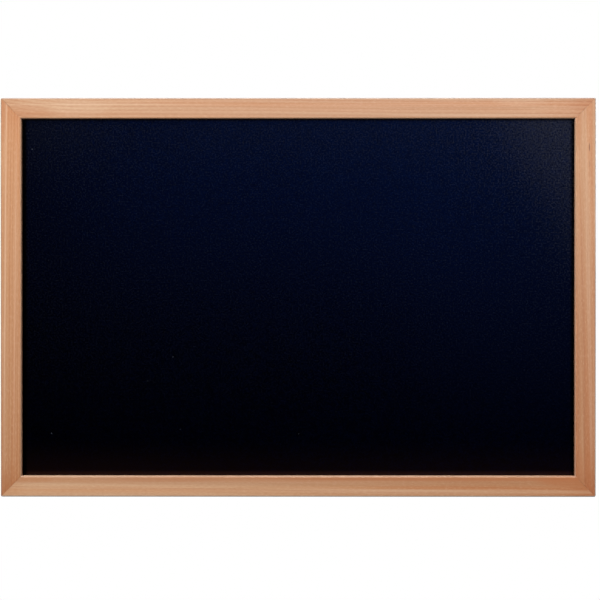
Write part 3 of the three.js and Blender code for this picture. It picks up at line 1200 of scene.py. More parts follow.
class ShapeTree(NodeBench):
    """A Geometry Nodes tree with named inputs, run once on an object of its own."""

    title = "shape"
    inputs: dict[str, str] = {}

    def __init__(self) -> None:
        """Makes the tree, its inputs and its nodes."""
        super().__init__(bpy.data.node_groups.new(self.title, "GeometryNodeTree"))
        face = self.tree.interface
        for name, kind in {**self.inputs, "Material": "Material"}.items():
            face.new_socket(name=name, in_out="INPUT", socket_type=f"NodeSocket{kind}")
        face.new_socket(name="Geometry", in_out="OUTPUT", socket_type="NodeSocketGeometry")
        self.given = self.add("NodeGroupInput")
        real = self.add("GeometryNodeRealizeInstances", sockets={"Geometry": self.shape()})
        sockets = {"Geometry": real, "Material": self.value("Material")}
        dressed = self.add("GeometryNodeSetMaterial", sockets=sockets)
        self.add("NodeGroupOutput", sockets={"Geometry": dressed})

    def value(self, name: str) -> Signal:
        """The signal of a named input."""
        return self.given.other(name)

    def source(self, name: str) -> Signal:
        """The geometry of the object that a named input holds."""
        return self.add("GeometryNodeObjectInfo", sockets={"Object": self.value(name)}, output="Geometry")

    def copies(self, points: Signal, turn: Signal) -> Signal:
        """A copy of the input Piece on each point, turned about Y.

        Args:
            points: Where the copies go.
            turn: Each point's turn, in radians.

        Returns:
            The copies.
        """
        euler = {"Euler": self.join(0.0, turn, 0.0)}
        rotation = self.add("FunctionNodeEulerToRotation", sockets=euler)
        sockets = {"Points": points, "Instance": self.source("Piece"), "Rotation": rotation}
        return self.add("GeometryNodeInstanceOnPoints", sockets=sockets)

    def shape(self) -> Signal:
        """The geometry before its material; each tree gives its own."""
        raise NotImplementedError

    def run(self, name: str, material: Material, **values: Any) -> Object:
        """Runs the tree and keeps what it makes.

        Args:
            name: The new object's name.
            material: The finish of every face.
            values: A value for each named input, its spaces written as underscores.

        Returns:
            An object with a plain mesh and no modifier.
        """
        item = linked(bpy.data.meshes.new(name))
        tree = item.modifiers.new(self.title, "NODES")
        tree.node_group = self.tree
        given = {key.replace("_", " "): value for key, value in values.items()}
        for socket in self.tree.interface.items_tree:
            if socket.in_out == "INPUT":
                tree[socket.identifier] = material if socket.name == "Material" else given[socket.name]
        settle(item)
        item.data.materials.clear()
        item.data.materials.append(material)
        return item


class MitredMoulding(ShapeTree):
    """A moulding swept along X, its ends mitred, its corners eased and its seats cut."""

    title = "mitred_moulding"
    inputs = {
        "Section": "Object",
        "Cutters": "Object",
        "Length": "Float",
        "Setback": "Float",
        "Easing": "Float",
        "End rings": "Int",
    }

    def shape(self) -> Signal:
        """A point further in from the outer edge lies as much further in from the end.

        Returns:
            The member with its outer edge on z = 0 and its back on y = 0.
        """
        easing, setback = self.value("Easing"), self.value("Setback")
        rings = self.value("End rings") * 2.0
        ends = {"Start": (-1.0, 0.0, 0.0), "End": (1.0, 0.0, 0.0)}
        line = self.add("GeometryNodeCurvePrimitiveLine", sockets=ends)
        line = self.add("GeometryNodeResampleCurve", sockets={"Curve": line, "Count": rings + 2.0})
        sockets = {"Curve": line, "Profile Curve": self.source("Section"), "Fill Caps": True}
        bar = self.add("GeometryNodeCurveToMesh", sockets=sockets)

        x, y, z = self.split(self.add("GeometryNodeInputPosition"))
        half = self.value("Length") * 0.5
        side = x.math("SIGN")
        step = (x.math("ABSOLUTE") * (rings + 1.0) - 1.0) / rings
        meeting = easing - (setback + (easing * easing * 2.0 - setback * setback).math("SQRT")) * 0.5
        reach = easing - setback - meeting
        inset = 0.0 - z
        end = half - setback - inset.math("MAXIMUM", meeting)
        far = end - reach * (1.0 - step)
        over = (far - half + easing).math("MAXIMUM", 0.0)
        eased = easing - (easing * easing - over * over).math("MAXIMUM", 0.0).math("SQRT")
        place = self.join(side * far, y, 0.0 - inset.math("MAXIMUM", eased))
        bar = self.add("GeometryNodeSetPosition", sockets={"Geometry": bar, "Position": place})
        settings = {"operation": Cut.AWAY.value, "solver": "EXACT"}
        sockets = {"Mesh 1": bar, "Mesh 2": self.source("Cutters")}
        return self.add("GeometryNodeMeshBoolean", settings, sockets)


class BentWire(ShapeTree):
    """Round wire swept along a path, with flat cut ends."""

    title = "bent_wire"
    inputs = {"Path": "Object", "Wire radius": "Float", "Sides": "Int"}

    def shape(self) -> Signal:
        """The wire along the path.

        Returns:
            The closed wire.
        """
        sockets = {"Resolution": self.value("Sides"), "Radius": self.value("Wire radius")}
        section = self.add("GeometryNodeCurvePrimitiveCircle", sockets=sockets)
        sockets = {"Curve": self.source("Path"), "Profile Curve": section, "Fill Caps": True}
        return self.add("GeometryNodeCurveToMesh", sockets=sockets)


class RowOfCopies(ShapeTree):
    """Copies of a piece in an even row along X, each a little out of true."""

    title = "row_of_copies"
    inputs = {"Piece": "Object", "Count": "Int", "Span": "Float", "Spread": "Float", "Seed": "Int"}

    def shape(self) -> Signal:
        """The row, turned about Y by a seeded part of the spread.

        Returns:
            The copies, their middle on the origin.
        """
        half = self.value("Span") * 0.5
        sockets = {
            "Count": self.value("Count"),
            "Start Location": self.join(0.0 - half, 0.0, 0.0),
            "Offset": self.join(half, 0.0, 0.0),
        }
        settings = {"mode": "END_POINTS", "count_mode": "TOTAL"}
        row = self.add("GeometryNodeMeshLine", settings, sockets)
        spread = self.value("Spread")
        sockets = {"Min_001": 0.0 - spread, "Max_001": spread, "Seed": self.value("Seed")}
        turn = self.add("FunctionNodeRandomValue", {"data_type": "FLOAT"}, sockets, "Value_001")
        return self.copies(row, turn)


class CornerCopies(ShapeTree):
    """A copy of a piece at each corner of an upright rectangle, turned to its diagonal."""

    title = "corner_copies"
    inputs = {"Piece": "Object", "Width": "Float", "Height": "Float", "Centre": "Vector"}

    def shape(self) -> Signal:
        """The four copies; the piece's own -Z side ends up facing the middle.

        Returns:
            The copies round the input Centre.
        """
        corners = {"Vertices X": 2, "Vertices Y": 2}
        sockets = {"Size X": self.value("Width"), "Size Y": self.value("Height"), **corners}
        grid = self.add("GeometryNodeMeshGrid", sockets=sockets)
        upright = {"Geometry": grid, "Rotation": (math.pi / 2, 0.0, 0.0)}
        grid = self.add("GeometryNodeTransform", sockets=upright)
        x, _, z = self.split(self.add("GeometryNodeInputPosition"))
        turn = self.math("ARCTAN2", x.math("SIGN"), z.math("SIGN"))
        sockets = {"Geometry": self.copies(grid, turn), "Translation": self.value("Centre")}
        return self.add("GeometryNodeTransform", sockets=sockets)


class TurnedCopies(ShapeTree):
    """A copy of a piece on each point of a mesh, turned about Y by the point's own turn."""

    title = "turned_copies"
    inputs = {"Piece": "Object", "Places": "Object"}

    def shape(self) -> Signal:
        """The copies on the points."""
        turn = self.add("GeometryNodeInputNamedAttribute", {"data_type": "FLOAT"}, {"Name": "turn"})
        return self.copies(self.source("Places"), turn)


@dataclass(frozen=True)
class Member:
    """One of the four mouldings."""

    board: Board
    side: Side
    face: float

    @property
    def name(self) -> str:
        """Its name among the dressed pieces."""
        return f"{self.side.label}_{self.side.kind.name.lower()}"

    @property
    def node(self) -> str:
        """The name of its solid."""
        return f"frame_{self.side.kind.name.lower()}_{self.side.label}"

    @property
    def finish(self) -> PineFinish:
        """Its own cut of wood."""
        return PineFinish(f"pine_{self.name}", self.board, self.side, self.face, WOODS[self.side])

    @property
    def placing(self) -> Matrix:
        """From the member's own frame, outer edge on z = 0 and back on y = 0, to the board's."""
        x, z = self.board.edge(self.side)
        return Matrix.Translation((x, self.board.back, z)) @ Matrix.Rotation(self.side.turn, 4, "Y")


@dataclass
class MitredFrame:
    """The four rebated mouldings, and the seats that are cut in them."""

    board: Board
    lip_depth: float = 0.006
    rebate_width: float = 0.006
    outer_rounding: float = 0.0011
    sight_rounding: float = 0.0018
    back_rounding: float = 0.0006
    corner_rounding: float = 0.0020
    glue_line: float = 0.00008
    seat_play: float = 0.00015
    arc_steps: int = 12
    end_rings: int = 8
    face: float = field(init=False)
    depth: float = field(init=False)

    def __post_init__(self) -> None:
        """Reads the moulding's face and depth from the top rail's solid."""
        low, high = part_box("frame_rail_top")
        self.face = high.z - low.z
        self.depth = high.y - low.y

    @property
    def land(self) -> float:
        """Width of the back face, from the outer edge to the rebate."""
        return self.face - self.rebate_width

    @property
    def ledge(self) -> float:
        """How far the rebate's floor lies in front of the frame's back."""
        return self.depth - self.lip_depth

    def section(self) -> list[Flat]:
        """The moulding's section.

        Returns:
            For each corner, how far forward of the back it lies, and how far in from the outer edge.
        """
        front, sight = self.depth, self.face
        outer, lip, back = self.outer_rounding, self.sight_rounding, self.back_rounding
        steps = self.arc_steps
        points = arc((back, back), back, 270, 180, steps // 2)
        points += [(0.0, self.land), (self.ledge, self.land), (self.ledge, sight)]
        points += arc((front - lip, sight - lip), lip, 90, 0, steps)
        points += arc((front - outer, outer), outer, 0, -90, steps)
        return points

    def members(self) -> list[Member]:
        """The four members: top, bottom, left and right."""
        return [Member(self.board, side, self.face) for side in Side]

    def build(self, seats: Callable[[Member], list[Mesh]]) -> None:
        """Builds and delivers the four members.

        Args:
            seats: Gives the cutters of a member, in the board's frame.
        """
        tree = MitredMoulding()
        section = path("moulding_section", self.section(), closed=True)
        for member in self.members():
            cutters = linked(joined("member_cutters", seats(member)))
            cutters.data.transform(member.placing.inverted())
            item = tree.run(
                member.name,
                member.finish.material(),
                Section=section,
                Cutters=cutters,
                Length=self.board.length(member.side),
                Setback=self.glue_line / 2 * ROOT_TWO,
                Easing=self.corner_rounding,
                End_rings=self.end_rings,
            )
            item.data.transform(member.placing)
            discard(cutters)
            deliver(soften(item), "board", [member.node])
        discard(section)


@dataclass
class WritingPanel:
    """The hardboard panel: lacquered in front, with the screen's print behind."""

    edge: float = 0.00025

    def build(self) -> None:
        """Builds and delivers the panel."""
        low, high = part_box("writing_panel")
        shell = bmesh.new()
        bmesh.ops.create_cube(shell, size=1.0)
        mesh = outward_mesh("chalk_panel", shell)
        middle, size = (low + high) / 2, high - low
        mesh.transform(Matrix.Translation(middle) @ Matrix.Diagonal((*size, 1.0)))
        item = soften(linked(mesh), self.edge)
        item.data.materials.append(HardboardFinish("brown_hardboard", low.y).material())
        item.data.materials.append(LacquerFinish("black_lacquer", high.x, high.z, low.z).material())
        for face in item.data.polygons:
            face.material_index = 1 if face.center.y < low.y + self.edge * 0.7 else 0
        deliver(item, "board", ["writing_panel"])


@dataclass
class CornerNails:
    """Steel V-nails across each mitre, driven from behind."""

    board: Board
    land: float
    finish: Material
    leg: float = 0.0046
    thickness: float = 0.0006
    edge_thickness: float = 0.00015
    height: float = 0.010
    ground_height: float = 0.0015
    half_angle: float = math.radians(50)
    sink: float = 0.0002
    softening: float = 0.00004
    place_shares: Flat = (0.5, 0.83)

    def outline(self, thickness: float, leg: float) -> list[Flat]:
        """The section of a nail or of its slot.

        Args:
            thickness: Of the steel.
            leg: The length of each leg.

        Returns:
            A V's six corners in X and Z, its bend on the origin and pointing to -Z.
        """
        bend = thickness / 2 / math.sin(self.half_angle)
        rise, reach = math.cos(self.half_angle), math.sin(self.half_angle)
        outer = (leg * reach + thickness / 2 * rise, leg * rise - thickness / 2 * reach)
        inner = (leg * reach - thickness / 2 * rise, leg * rise + thickness / 2 * reach)
        right = [(0.0, -bend), outer, inner, (0.0, bend)]
        return right + [(-x, z) for x, z in (inner, outer)]

    def distances(self) -> list[float]:
        """How far each bend lies from the board's corner, along the mitre."""
        return [share * self.land * ROOT_TWO for share in self.place_shares]

    def nail(self) -> Mesh:
        """One nail: full section down to the ground edge, then thinner to the cutting edge.

        Returns:
            The nail, driven forward from y = 0.
        """
        full = self.outline(self.thickness, self.leg)
        thin = self.outline(self.edge_thickness, self.leg)
        levels = [(0.0, full), (self.height - self.ground_height, full), (self.height, thin)]
        rings = [[Vector((x, -self.sink - y, z)) for x, z in ring] for y, ring in levels]
        return loft("corner_nail", rings)

    def seats(self, play: float) -> list[Mesh]:
        """The V slots of all corners, in the board's frame.

        Args:
            play: How much wider than the nail a slot is, on each side.

        Returns:
            Eight cutters.
        """
        outline = self.outline(self.thickness + play * 2, self.leg + play)
        slot = prism("nail_slot", outline, -self.sink - self.height - play, OVERRUN)
        cutters = []
        for x_side, z_side, distance in product((-1, 1), (-1, 1), self.distances()):
            step = distance / ROOT_TWO
            place = self.board.centre + Vector((
                x_side * (self.board.width / 2 - step), 0.0, z_side * (self.board.height / 2 - step)
            ))
            cutter = slot.copy()
            turn = Matrix.Rotation(math.atan2(x_side, z_side), 4, "Y")
            cutter.transform(Matrix.Translation(place) @ turn)
            cutters.append(cutter)
        return cutters

    def build(self) -> None:
        """Builds and delivers the eight nails as one piece."""
        unit = linked(self.nail())
        tree = CornerCopies()
        rows = []
        for distance in self.distances():
            inwards = distance * ROOT_TWO
            rows.append(tree.run(
                "nail_row", self.finish, Piece=unit, Centre=self.board.centre,
                Width=self.board.width - inwards, Height=self.board.height - inwards,
            ))
        item = linked(joined("corner_nails", [row.data for row in rows]))
        item.data.materials.append(self.finish)
        discard(unit, *rows)
        deliver(soften(item, self.softening), "board", solids("corner_nail_"))


@dataclass
class FramingPoints:
    """Flat steel points in the rebate wall that hold the panel against the lip."""

    land: float
    finish: Material
    width: float = 0.009
    length: float = 0.015
    driven: float = 0.0075
    tip_length: float = 0.003
    tail_rounding: float = 0.0012
    softening: float = 0.00005
    spread: float = math.radians(0.8)
    arc_steps: int = 8

    def outline(self, play: float) -> list[Flat]:
        """A point seen from behind, its tip outwards, in a member's own X and Z.

        Args:
            play: How much wider the outline is on each side, for a slot.

        Returns:
            The corners.
        """
        half = self.width / 2 + play
        tip = self.driven - self.land + play
        tail = self.driven - self.length - self.land
        radius = self.tail_rounding
        left = arc((radius - half, tail + radius), radius, 180, 270, self.arc_steps)
        right = arc((half - radius, tail + radius), radius, -90, 0, self.arc_steps)
        shoulder = tip - self.tip_length
        return [(0.0, tip), (-half, shoulder), *left, *right, (half, shoulder)]

    @staticmethod
    def nodes(member: Member) -> list[str]:
        """The names of a member's points."""
        return solids(f"framing_point_{member.side.label}_")

    def levels(self, member: Member) -> Flat:
        """Front and back plane of the points, from the frame's back."""
        low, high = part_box(self.nodes(member)[0])
        return low.y - member.board.back, high.y - member.board.back

    def places(self, member: Member) -> list[float]:
        """Where the points stand along a member."""
        back = member.placing.inverted()
        return sorted((back @ middle_of(name)).x for name in self.nodes(member))

    def seats(self, member: Member, play: float) -> list[Mesh]:
        """The slots of a member's points, in the board's frame.

        Args:
            member: The member.
            play: How much wider than the point a slot is, on each side.

        Returns:
            A cutter for each point.
        """
        front, back = self.levels(member)
        cutters = []
        for place in self.places(member):
            slot = prism("point_slot", self.outline(play), front - play, back + play)
            slot.transform(member.placing @ Matrix.Translation((place, 0.0, 0.0)))
            cutters.append(slot)
        return cutters

    def build(self, members: Sequence[Member]) -> None:
        """Builds and delivers one row of points for each member.

        Args:
            members: The four members.
        """
        tree = RowOfCopies()
        for seed, member in enumerate(members):
            unit = linked(prism("framing_point", self.outline(0.0), *self.levels(member)))
            soften(unit, self.softening)
            places = self.places(member)
            row = tree.run(
                f"framing_points_{member.side.label}", self.finish, Piece=unit, Count=len(places),
                Span=places[-1] - places[0], Spread=self.spread, Seed=seed,
            )
            row.data.transform(member.placing)
            discard(unit)
            deliver(row, "board", self.nodes(member))


@dataclass
class WallBumpers:
    """Four self-adhesive rubber bumpers that keep the frame off the wall."""

    board: Board
    finish: Material
    rim_height: float = 0.0008
    flat_radius: float = 0.0024
    pad_height: float = 0.00025
    pad_inset: float = 0.0002
    sides: int = 56
    dome_steps: int = 12

    def build(self) -> None:
        """Builds and delivers the four bumpers as one piece."""
        low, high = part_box("wall_bumper_top_left")
        radius, height = (high.x - low.x) / 2, high.y - low.y
        across, up = radius - self.flat_radius, height - self.rim_height
        profile = [
            (radius - self.pad_inset, 0.0), (radius - self.pad_inset, self.pad_height),
            (radius, self.pad_height), (radius, self.rim_height),
        ]
        for i in range(1, self.dome_steps + 1):
            angle = math.pi / 2 * i / self.dome_steps
            profile.append((
                self.flat_radius + across * math.cos(angle), self.rim_height + up * math.sin(angle),
            ))
        unit = linked(loft("bumper", turned_rings(profile, self.sides)))
        middle, centre = (low + high) / 2, self.board.centre
        item = CornerCopies().run(
            "wall_bumpers", self.finish, Piece=unit, Centre=centre,
            Width=2 * abs(middle.x - centre.x), Height=2 * abs(middle.z - centre.z),
        )
        discard(unit)
        deliver(soften(item), "board", solids("wall_bumper_"))


@dataclass
class StrapHangers:
    """Two rolled sheet straps with swinging D-rings and their screws."""

    board: Board
    plate: Material
    wire_finish: Material
    screw_finish: Material
    sides: tuple[Side, ...] = (Side.LEFT, Side.RIGHT)
    strap_thickness: float = 0.0008
    strap_width: float = 0.008
    strap_reach: float = 0.025
    eye_seam: float = 0.00015
    eye_play: float = 0.0002
    hole_radius: float = 0.00155
    bore_play: float = 0.0006
    ring_wire: float = 0.0018
    ring_reach: float = 0.013
    ring_corner: float = 0.0016
    ring_side_play: float = 0.0008
    ring_end_gap: float = 0.0004
    ring_rest_gap: float = 0.0003
    screw_length: float = 0.012
    head_radius: float = 0.0027
    head_height: float = 0.0017
    head_rim: float = 0.0005
    head_easing: float = 0.0001
    dome_angle: float = math.radians(88)
    shank_radius: float = 0.0014
    thread_depth: float = 0.0004
    thread_pitch: float = 0.0013
    thread_start: float = 0.0006
    thread_runout: float = 0.0005
    crest_slope: float = 3.2
    tip_length: float = 0.003
    tip_radius: float = 0.00004
    tip_curve: float = 0.8
    cross_span: float = 0.0034
    cross_width: float = 0.0008
    cross_depth: float = 0.0011
    cross_floor_share: float = 0.45
    cross_least_width: float = 0.6
    softening: float = 0.00012
    screw_turns: tuple[float, ...] = (12.0, 77.0, 34.0, 58.0)
    strap_arc_steps: int = 40
    ring_bend_steps: int = 12
    ring_bow_steps: int = 48
    wire_sides: int = 24
    bore_sides: int = 24
    screw_sides: int = 28
    rings_per_pitch: int = 14
    dome_steps: int = 10

    @property
    def eye_inner(self) -> float:
        """Inner radius of the rolled eye."""
        return self.ring_wire / 2 + self.eye_play

    @property
    def eye_outer(self) -> float:
        """Outer radius of the rolled eye."""
        return self.eye_inner + self.strap_thickness

    def axis(self, side: Side) -> Vector:
        """The middle of a ring's hinge axis."""
        low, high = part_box(f"hanger_strap_{side.label}")
        return Vector(((low.x + high.x) / 2, self.board.back + self.eye_outer, high.z - self.eye_outer))

    def strap_section(self) -> list[Flat]:
        """Side view of the strap.

        Returns:
            For each corner, its height above the frame and its height above the axis.
        """
        outer, inner, steps = self.eye_outer, self.eye_inner, self.strap_arc_steps
        rolled = math.degrees(math.acos(1 - (self.strap_thickness + self.eye_seam) / outer))
        last = rolled - 180
        points = [(0.0, -self.strap_reach)]
        points += arc((outer, 0.0), outer, 180, last, steps)
        points += arc((outer, 0.0), inner, last, 180, steps)
        points.append((self.strap_thickness, -self.strap_reach))
        return points

    def strap(self) -> Object:
        """One strap with its eye, round foot, two holes and softened edges.

        Returns:
            The strap, its back on y = 0 and its hinge axis over z = 0.
        """
        half, reach, steps = self.strap_width / 2, self.strap_reach, self.strap_arc_steps
        section = self.strap_section()
        ends = (-half - OVERRUN, half + OVERRUN)
        item = linked(loft("strap", [[Vector((x, y, z)) for y, z in section] for x in ends]))
        foot = arc((0.0, half - reach), half, 180, 360, steps)
        outline = [(half, OVERRUN + half), (-half, OVERRUN + half), *foot]
        carve(item, prism("blank", outline, -OVERRUN, half), Cut.SHARED)
        for drop in self.hole_drops():
            hole = [(x, z - drop) for x, z in arc((0.0, 0.0), self.hole_radius, 0, 360, steps)[:-1]]
            carve(item, prism("hole", hole, -OVERRUN, self.strap_thickness + OVERRUN))
        return soften(item, self.softening)

    def hole_drops(self) -> list[float]:
        """How far the screws lie below the hinge axis, from their solids."""
        height = self.axis(Side.LEFT).z
        return [height - middle_of(f"hanger_screw_left_{level}").z for level in ("upper", "lower")]

    def ring_points(self) -> list[Triple]:
        """The centre line of a D-ring: a bar with butted ends, two arms and a half round.

        Returns:
            The points in the plane y = 0, the bar along the X axis.
        """
        half = (self.strap_width + self.ring_side_play + self.ring_wire) / 2
        bend, gap = self.ring_corner, self.ring_end_gap / 2
        line = [(gap, 0.0)]
        line += arc((half - bend, bend), bend, -90, 0, self.ring_bend_steps)
        line += arc((0.0, self.ring_reach - half), half, 0, 180, self.ring_bow_steps)
        line += arc((bend - half, bend), bend, 180, 270, self.ring_bend_steps)
        line.append((-gap, 0.0))
        return [(x, 0.0, z) for x, z in line]

    def build_rings(self) -> None:
        """Builds and delivers each D-ring, leaning on the frame."""
        radius = self.ring_wire / 2
        lean = math.asin((self.eye_outer - radius - self.ring_rest_gap) / self.ring_reach)
        tree = BentWire()
        guide = path("ring_path", self.ring_points(), closed=False)
        for side in self.sides:
            name, solid = f"{side.label}_ring", f"ring_{side.label}"
            item = tree.run(name, self.wire_finish, Path=guide, Wire_radius=radius, Sides=self.wire_sides)
            item.data.transform(Matrix.Translation(self.axis(side)) @ Matrix.Rotation(lean, 4, "X"))
            deliver(soften(item, self.softening), solid, [f"hanger_{solid}"])
        discard(guide)

    def build_straps(self) -> None:
        """Builds and delivers the two straps as one piece."""
        unit = self.strap()
        left, right = (self.axis(side) for side in self.sides)
        item = RowOfCopies().run(
            "hanger_straps", self.plate, Piece=unit, Count=2, Span=right.x - left.x, Spread=0.0, Seed=0
        )
        item.data.transform(Matrix.Translation(((left.x + right.x) / 2, self.board.back, left.z)))
        discard(unit)
        deliver(item, "board", solids("hanger_strap_"))

    def thread_radius(self, height: float, angle: float) -> float:
        """Radius of the threaded shank.

        Args:
            height: How far below the head.
            angle: The angle round the shank.

        Returns:
            The radius, which shrinks towards the tip.
        """
        turn = (height / self.thread_pitch - angle / math.tau) % 1.0
        crest = max(0.0, 1.0 - abs(turn - 0.5) * self.crest_slope)
        below = min(1.0, (self.screw_length - height) / self.tip_length)
        start = min(1.0, max(0.0, (height - self.thread_start) / self.thread_runout))
        radius = self.shank_radius - self.thread_depth + self.thread_depth * crest * start
        return max(self.tip_radius, radius * below ** self.tip_curve)

    def screw(self) -> Object:
        """One pan-head screw along Y.

        Returns:
            The screw, its head's underside on y = 0.
        """
        steps = round(self.screw_length / self.thread_pitch * self.rings_per_pitch)
        rings = []
        for i in range(steps + 1):
            height = self.screw_length * (1 - i / steps)
            row = [(self.thread_radius(height, a), a) for a in around(self.screw_sides)]
            rings.append([Vector((r * math.cos(a), -height, r * math.sin(a))) for r, a in row])
        head = [(self.head_radius - self.head_easing, 0.0), (self.head_radius, self.head_easing)]
        dome = self.head_height - self.head_rim
        for i in range(self.dome_steps + 1):
            angle = self.dome_angle * i / self.dome_steps
            head.append((self.head_radius * math.cos(angle), self.head_rim + dome * math.sin(angle)))
        item = linked(loft("screw", rings + turned_rings(head, self.screw_sides)))
        for turn in (0.0, math.pi / 2):
            carve(item, self.cross_blade(turn))
        return soften(item)

    def cross_blade(self, turn: float) -> Mesh:
        """One blade of the cross recess, narrower at its floor.

        Args:
            turn: The blade's turn about Y.

        Returns:
            The cutter.
        """
        least = self.cross_least_width
        open_share = 1.0 + (1.0 - self.cross_floor_share) * OVERRUN / self.cross_depth
        floor, top = self.head_height - self.cross_depth, self.head_height + OVERRUN
        rings = []
        for y, share in ((floor, self.cross_floor_share), (top, open_share)):
            x, z = self.cross_span / 2 * share, self.cross_width / 2 * (least + (1.0 - least) * share)
            rings.append([Vector(corner) for corner in ((x, y, z), (-x, y, z), (-x, y, -z), (x, y, -z))])
        blade = loft("blade", rings)
        blade.transform(Matrix.Rotation(turn, 4, "Y"))
        return blade

    def build_screws(self) -> None:
        """Builds and delivers the four screws as one piece, each at its own turn."""
        unit = self.screw()
        places = []
        for side, drop in product(self.sides, self.hole_drops()):
            axis = self.axis(side)
            places.append((axis.x, self.board.back + self.strap_thickness, axis.z - drop))
        spots = bpy.data.meshes.new("screw_places")
        spots.from_pydata(places, [], [])
        turns = [math.radians(turn) for turn in self.screw_turns]
        spots.attributes.new("turn", "FLOAT", "POINT").data.foreach_set("value", turns)
        guide = linked(spots)
        item = TurnedCopies().run("hanger_screws", self.screw_finish, Piece=unit, Places=guide)
        discard(unit, guide)
        deliver(item, "board", solids("hanger_screw_"))

    def seats(self, member: Member) -> list[Mesh]:
        """The screw bores of a member, in the board's frame.

        Args:
            member: The member; only the stiles have bores.

        Returns:
            A cutter for each screw.
        """
        if member.side.kind is Kind.RAIL:
            return []
        axis, back = self.axis(member.side), self.board.back
        depth = self.screw_length - self.strap_thickness + self.bore_play
        cutters = []
        for drop in self.hole_drops():
            circle = arc((axis.x, axis.z - drop), self.hole_radius, 0, 360, self.bore_sides)[:-1]
            cutters.append(prism("bore", circle, back - depth, back + OVERRUN))
        return cutters

    def build(self) -> None:
        """Builds and delivers the straps, rings and screws."""
        self.build_straps()
        self.build_rings()
        self.build_screws()


@dataclass(frozen=True)
class Lamp:
    """A soft rectangular studio lamp aimed at the board."""

    name: str
    place: Triple
    size: Flat
    power: float

    def hang(self, aim: Vector) -> None:
        """Puts the lamp in the scene.

        Args:
            aim: What it shines at.
        """
        light = bpy.data.lights.new(self.name, "AREA")
        light.shape = "RECTANGLE"
        light.size, light.size_y = self.size
        light.energy = self.power
        item = linked(light)
        item.location = self.place
        item.rotation_euler = (aim - Vector(self.place)).to_track_quat("-Z", "Y").to_euler()


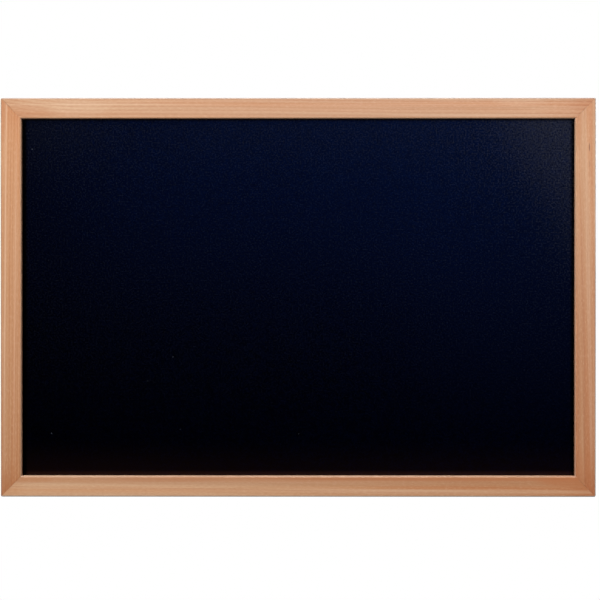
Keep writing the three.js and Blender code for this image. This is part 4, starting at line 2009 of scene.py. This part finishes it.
@dataclass
class Studio:
    """The camera at the photograph's angle, the lamps, the pale floor and the white surround."""

    board: Board
    image_pixels: float = 600.0
    board_width_pixels: float = 595.4
    board_centre_pixels: Flat = (298.05, 297.45)
    view_yaw: float = math.radians(0.21)
    view_pitch: float = math.radians(0.29)
    distance: float = 1.70
    sensor: float = 36.0
    lamps: tuple[Lamp, ...] = (
        Lamp("key", (-1.74, -1.95, 2.02), (0.41, 0.41), 91.0),
        Lamp("front", (0.08, -2.99, 0.38), (1.56, 0.84), 13.9),
        Lamp("right", (0.63, -0.96, 0.24), (1.25, 1.25), 4.4),
        Lamp("top", (0.12, -1.74, 1.50), (0.60, 0.60), 27.6),
        Lamp("back_left", (-1.5, 1.0, 1.15), (1.0, 1.0), 92.0),
        Lamp("back_right", (1.3, 1.2, 0.4), (1.0, 1.0), 34.0),
    )
    floor_drop: float = 0.55
    floor_radius: float = 7.0
    floor_sides: int = 96
    floor_fade: Fade = Fade(0.25, 0.85)
    floor_tone: Colour = (0.86, 0.86, 0.86)
    white: Colour = (1.0, 1.0, 1.0)
    surround: float = 0.013

    def place_camera(self) -> None:
        """The camera at the photograph's angle: square on, but for a touch from the right and above."""
        board = self.board
        camera = bpy.data.cameras.new("camera")
        camera.sensor_width = self.sensor
        share = self.board_width_pixels / self.image_pixels
        camera.lens = self.sensor * self.distance * share / board.width
        item = linked(camera)
        metres = board.width / self.board_width_pixels
        aside, below = ((self.image_pixels / 2 - pixel) * metres for pixel in self.board_centre_pixels)
        aim = Vector((board.centre.x + aside, board.front, board.centre.z - below))
        level = self.distance * math.cos(self.view_pitch)
        away = Vector((
            level * math.sin(self.view_yaw), -level * math.cos(self.view_yaw),
            self.distance * math.sin(self.view_pitch),
        ))
        item.location = aim + away
        item.rotation_euler = (-away).to_track_quat("-Z", "Y").to_euler()
        bpy.context.scene.camera = item

    def hang_lamps(self) -> None:
        """The key lamp, the fills and the lamps for the back."""
        middle = self.board.centre
        for lamp in self.lamps:
            lamp.hang(Vector((middle.x, self.board.front, middle.z)))

    def paint_surround(self) -> None:
        """White for the camera, and a dim even light for everything else."""
        world = bpy.data.worlds.new("surround")
        bpy.context.scene.world = world
        bench = FinishBench.on(world)
        dim, bright = (
            bench.add("ShaderNodeBackground", sockets={"Color": self.white, "Strength": strength})
            for strength in (self.surround, 1.0)
        )
        seen = bench.add("ShaderNodeLightPath", output="Is Camera Ray")
        mixed = bench.add("ShaderNodeMixShader", sockets={0: seen, 1: dim, 2: bright})
        bench.add("ShaderNodeOutputWorld", sockets={"Surface": mixed})

    def lay_floor(self) -> None:
        """A pale floor below the board, which fades into the white surround."""
        shell = bmesh.new()
        bmesh.ops.create_circle(
            shell, cap_ends=True, radius=self.floor_radius, segments=self.floor_sides
        )
        mesh = plain_mesh("floor", shell)
        middle = self.board.centre
        mesh.transform(Matrix.Translation((middle.x, middle.y, self.board.bottom - self.floor_drop)))
        item = linked(mesh)
        item.data.materials.append(self.floor_material())
        item.visible_glossy = False
        item.visible_diffuse = False

    def floor_material(self) -> Material:
        """Matt off-white that turns into plain white a metre away from the board.

        Returns:
            The floor's material.
        """
        material = bpy.data.materials.new("pale_floor")
        bench = FinishBench.on(material)
        x, y, _ = bench.split(bench.place())
        far = self.floor_fade.on((x * x + y * y).math("SQRT"))
        seen = bench.add("ShaderNodeLightPath", output="Is Camera Ray")
        matt = bench.add("ShaderNodeBsdfDiffuse", sockets={"Color": self.floor_tone})
        white = bench.add("ShaderNodeEmission", sockets={"Color": self.white, "Strength": 1.0})
        mixed = bench.add("ShaderNodeMixShader", sockets={0: far * seen, 1: matt, 2: white})
        bench.add("ShaderNodeOutputMaterial", sockets={"Surface": mixed})
        return material

    def set_up(self) -> None:
        """Sets the whole studio up."""
        bpy.context.scene.view_settings.view_transform = "Standard"
        self.place_camera()
        self.hang_lamps()
        self.paint_surround()
        self.lay_floor()
        log.info("studio: camera, lamps, floor and surround")


METALS = (
    PlatedFinish(
        "bright_steel_strip", (0.62, 0.63, 0.64), (0.46, 0.45, 0.43),
        roughness=0.44, mark_scale=(300.0, 300.0, 1700.0), seed=5.0,
    ),
    PlatedFinish(
        "zinc_plated_sheet", (0.66, 0.67, 0.68), (0.50, 0.51, 0.50),
        roughness=0.42, mark_scale=(1600.0, 1600.0, 160.0), seed=8.0,
    ),
    PlatedFinish(
        "zinc_plated_wire", (0.70, 0.71, 0.72), (0.54, 0.55, 0.54),
        roughness=0.34, mark_scale=700.0, seed=12.0,
    ),
    PlatedFinish(
        "zinc_plated_screw", (0.68, 0.68, 0.69), (0.55, 0.53, 0.47),
        roughness=0.36, mark_scale=900.0, seed=16.0,
    ),
)


def main() -> None:
    """Builds the board from its frame to its hangers."""
    logging.basicConfig(level=logging.INFO, format="%(name)s: %(message)s")
    board = Board.from_model()
    Studio(board).set_up()

    mouldings = MitredFrame(board)
    steel, zinc, wire, plated = (metal.material() for metal in METALS)
    nails = CornerNails(board, mouldings.land, steel)
    points = FramingPoints(mouldings.land, steel)
    hangers = StrapHangers(board, zinc, wire, plated)

    def seats(member: Member) -> list[Mesh]:
        """Everything that is cut into a member."""
        play = mouldings.seat_play
        return nails.seats(play) + points.seats(member, play) + hangers.seats(member)

    mouldings.build(seats)
    WritingPanel().build()
    nails.build()
    points.build(mouldings.members())
    WallBumpers(board, RubberFinish("black_rubber").material()).build()
    hangers.build()


if __name__ == "__main__":
    main()
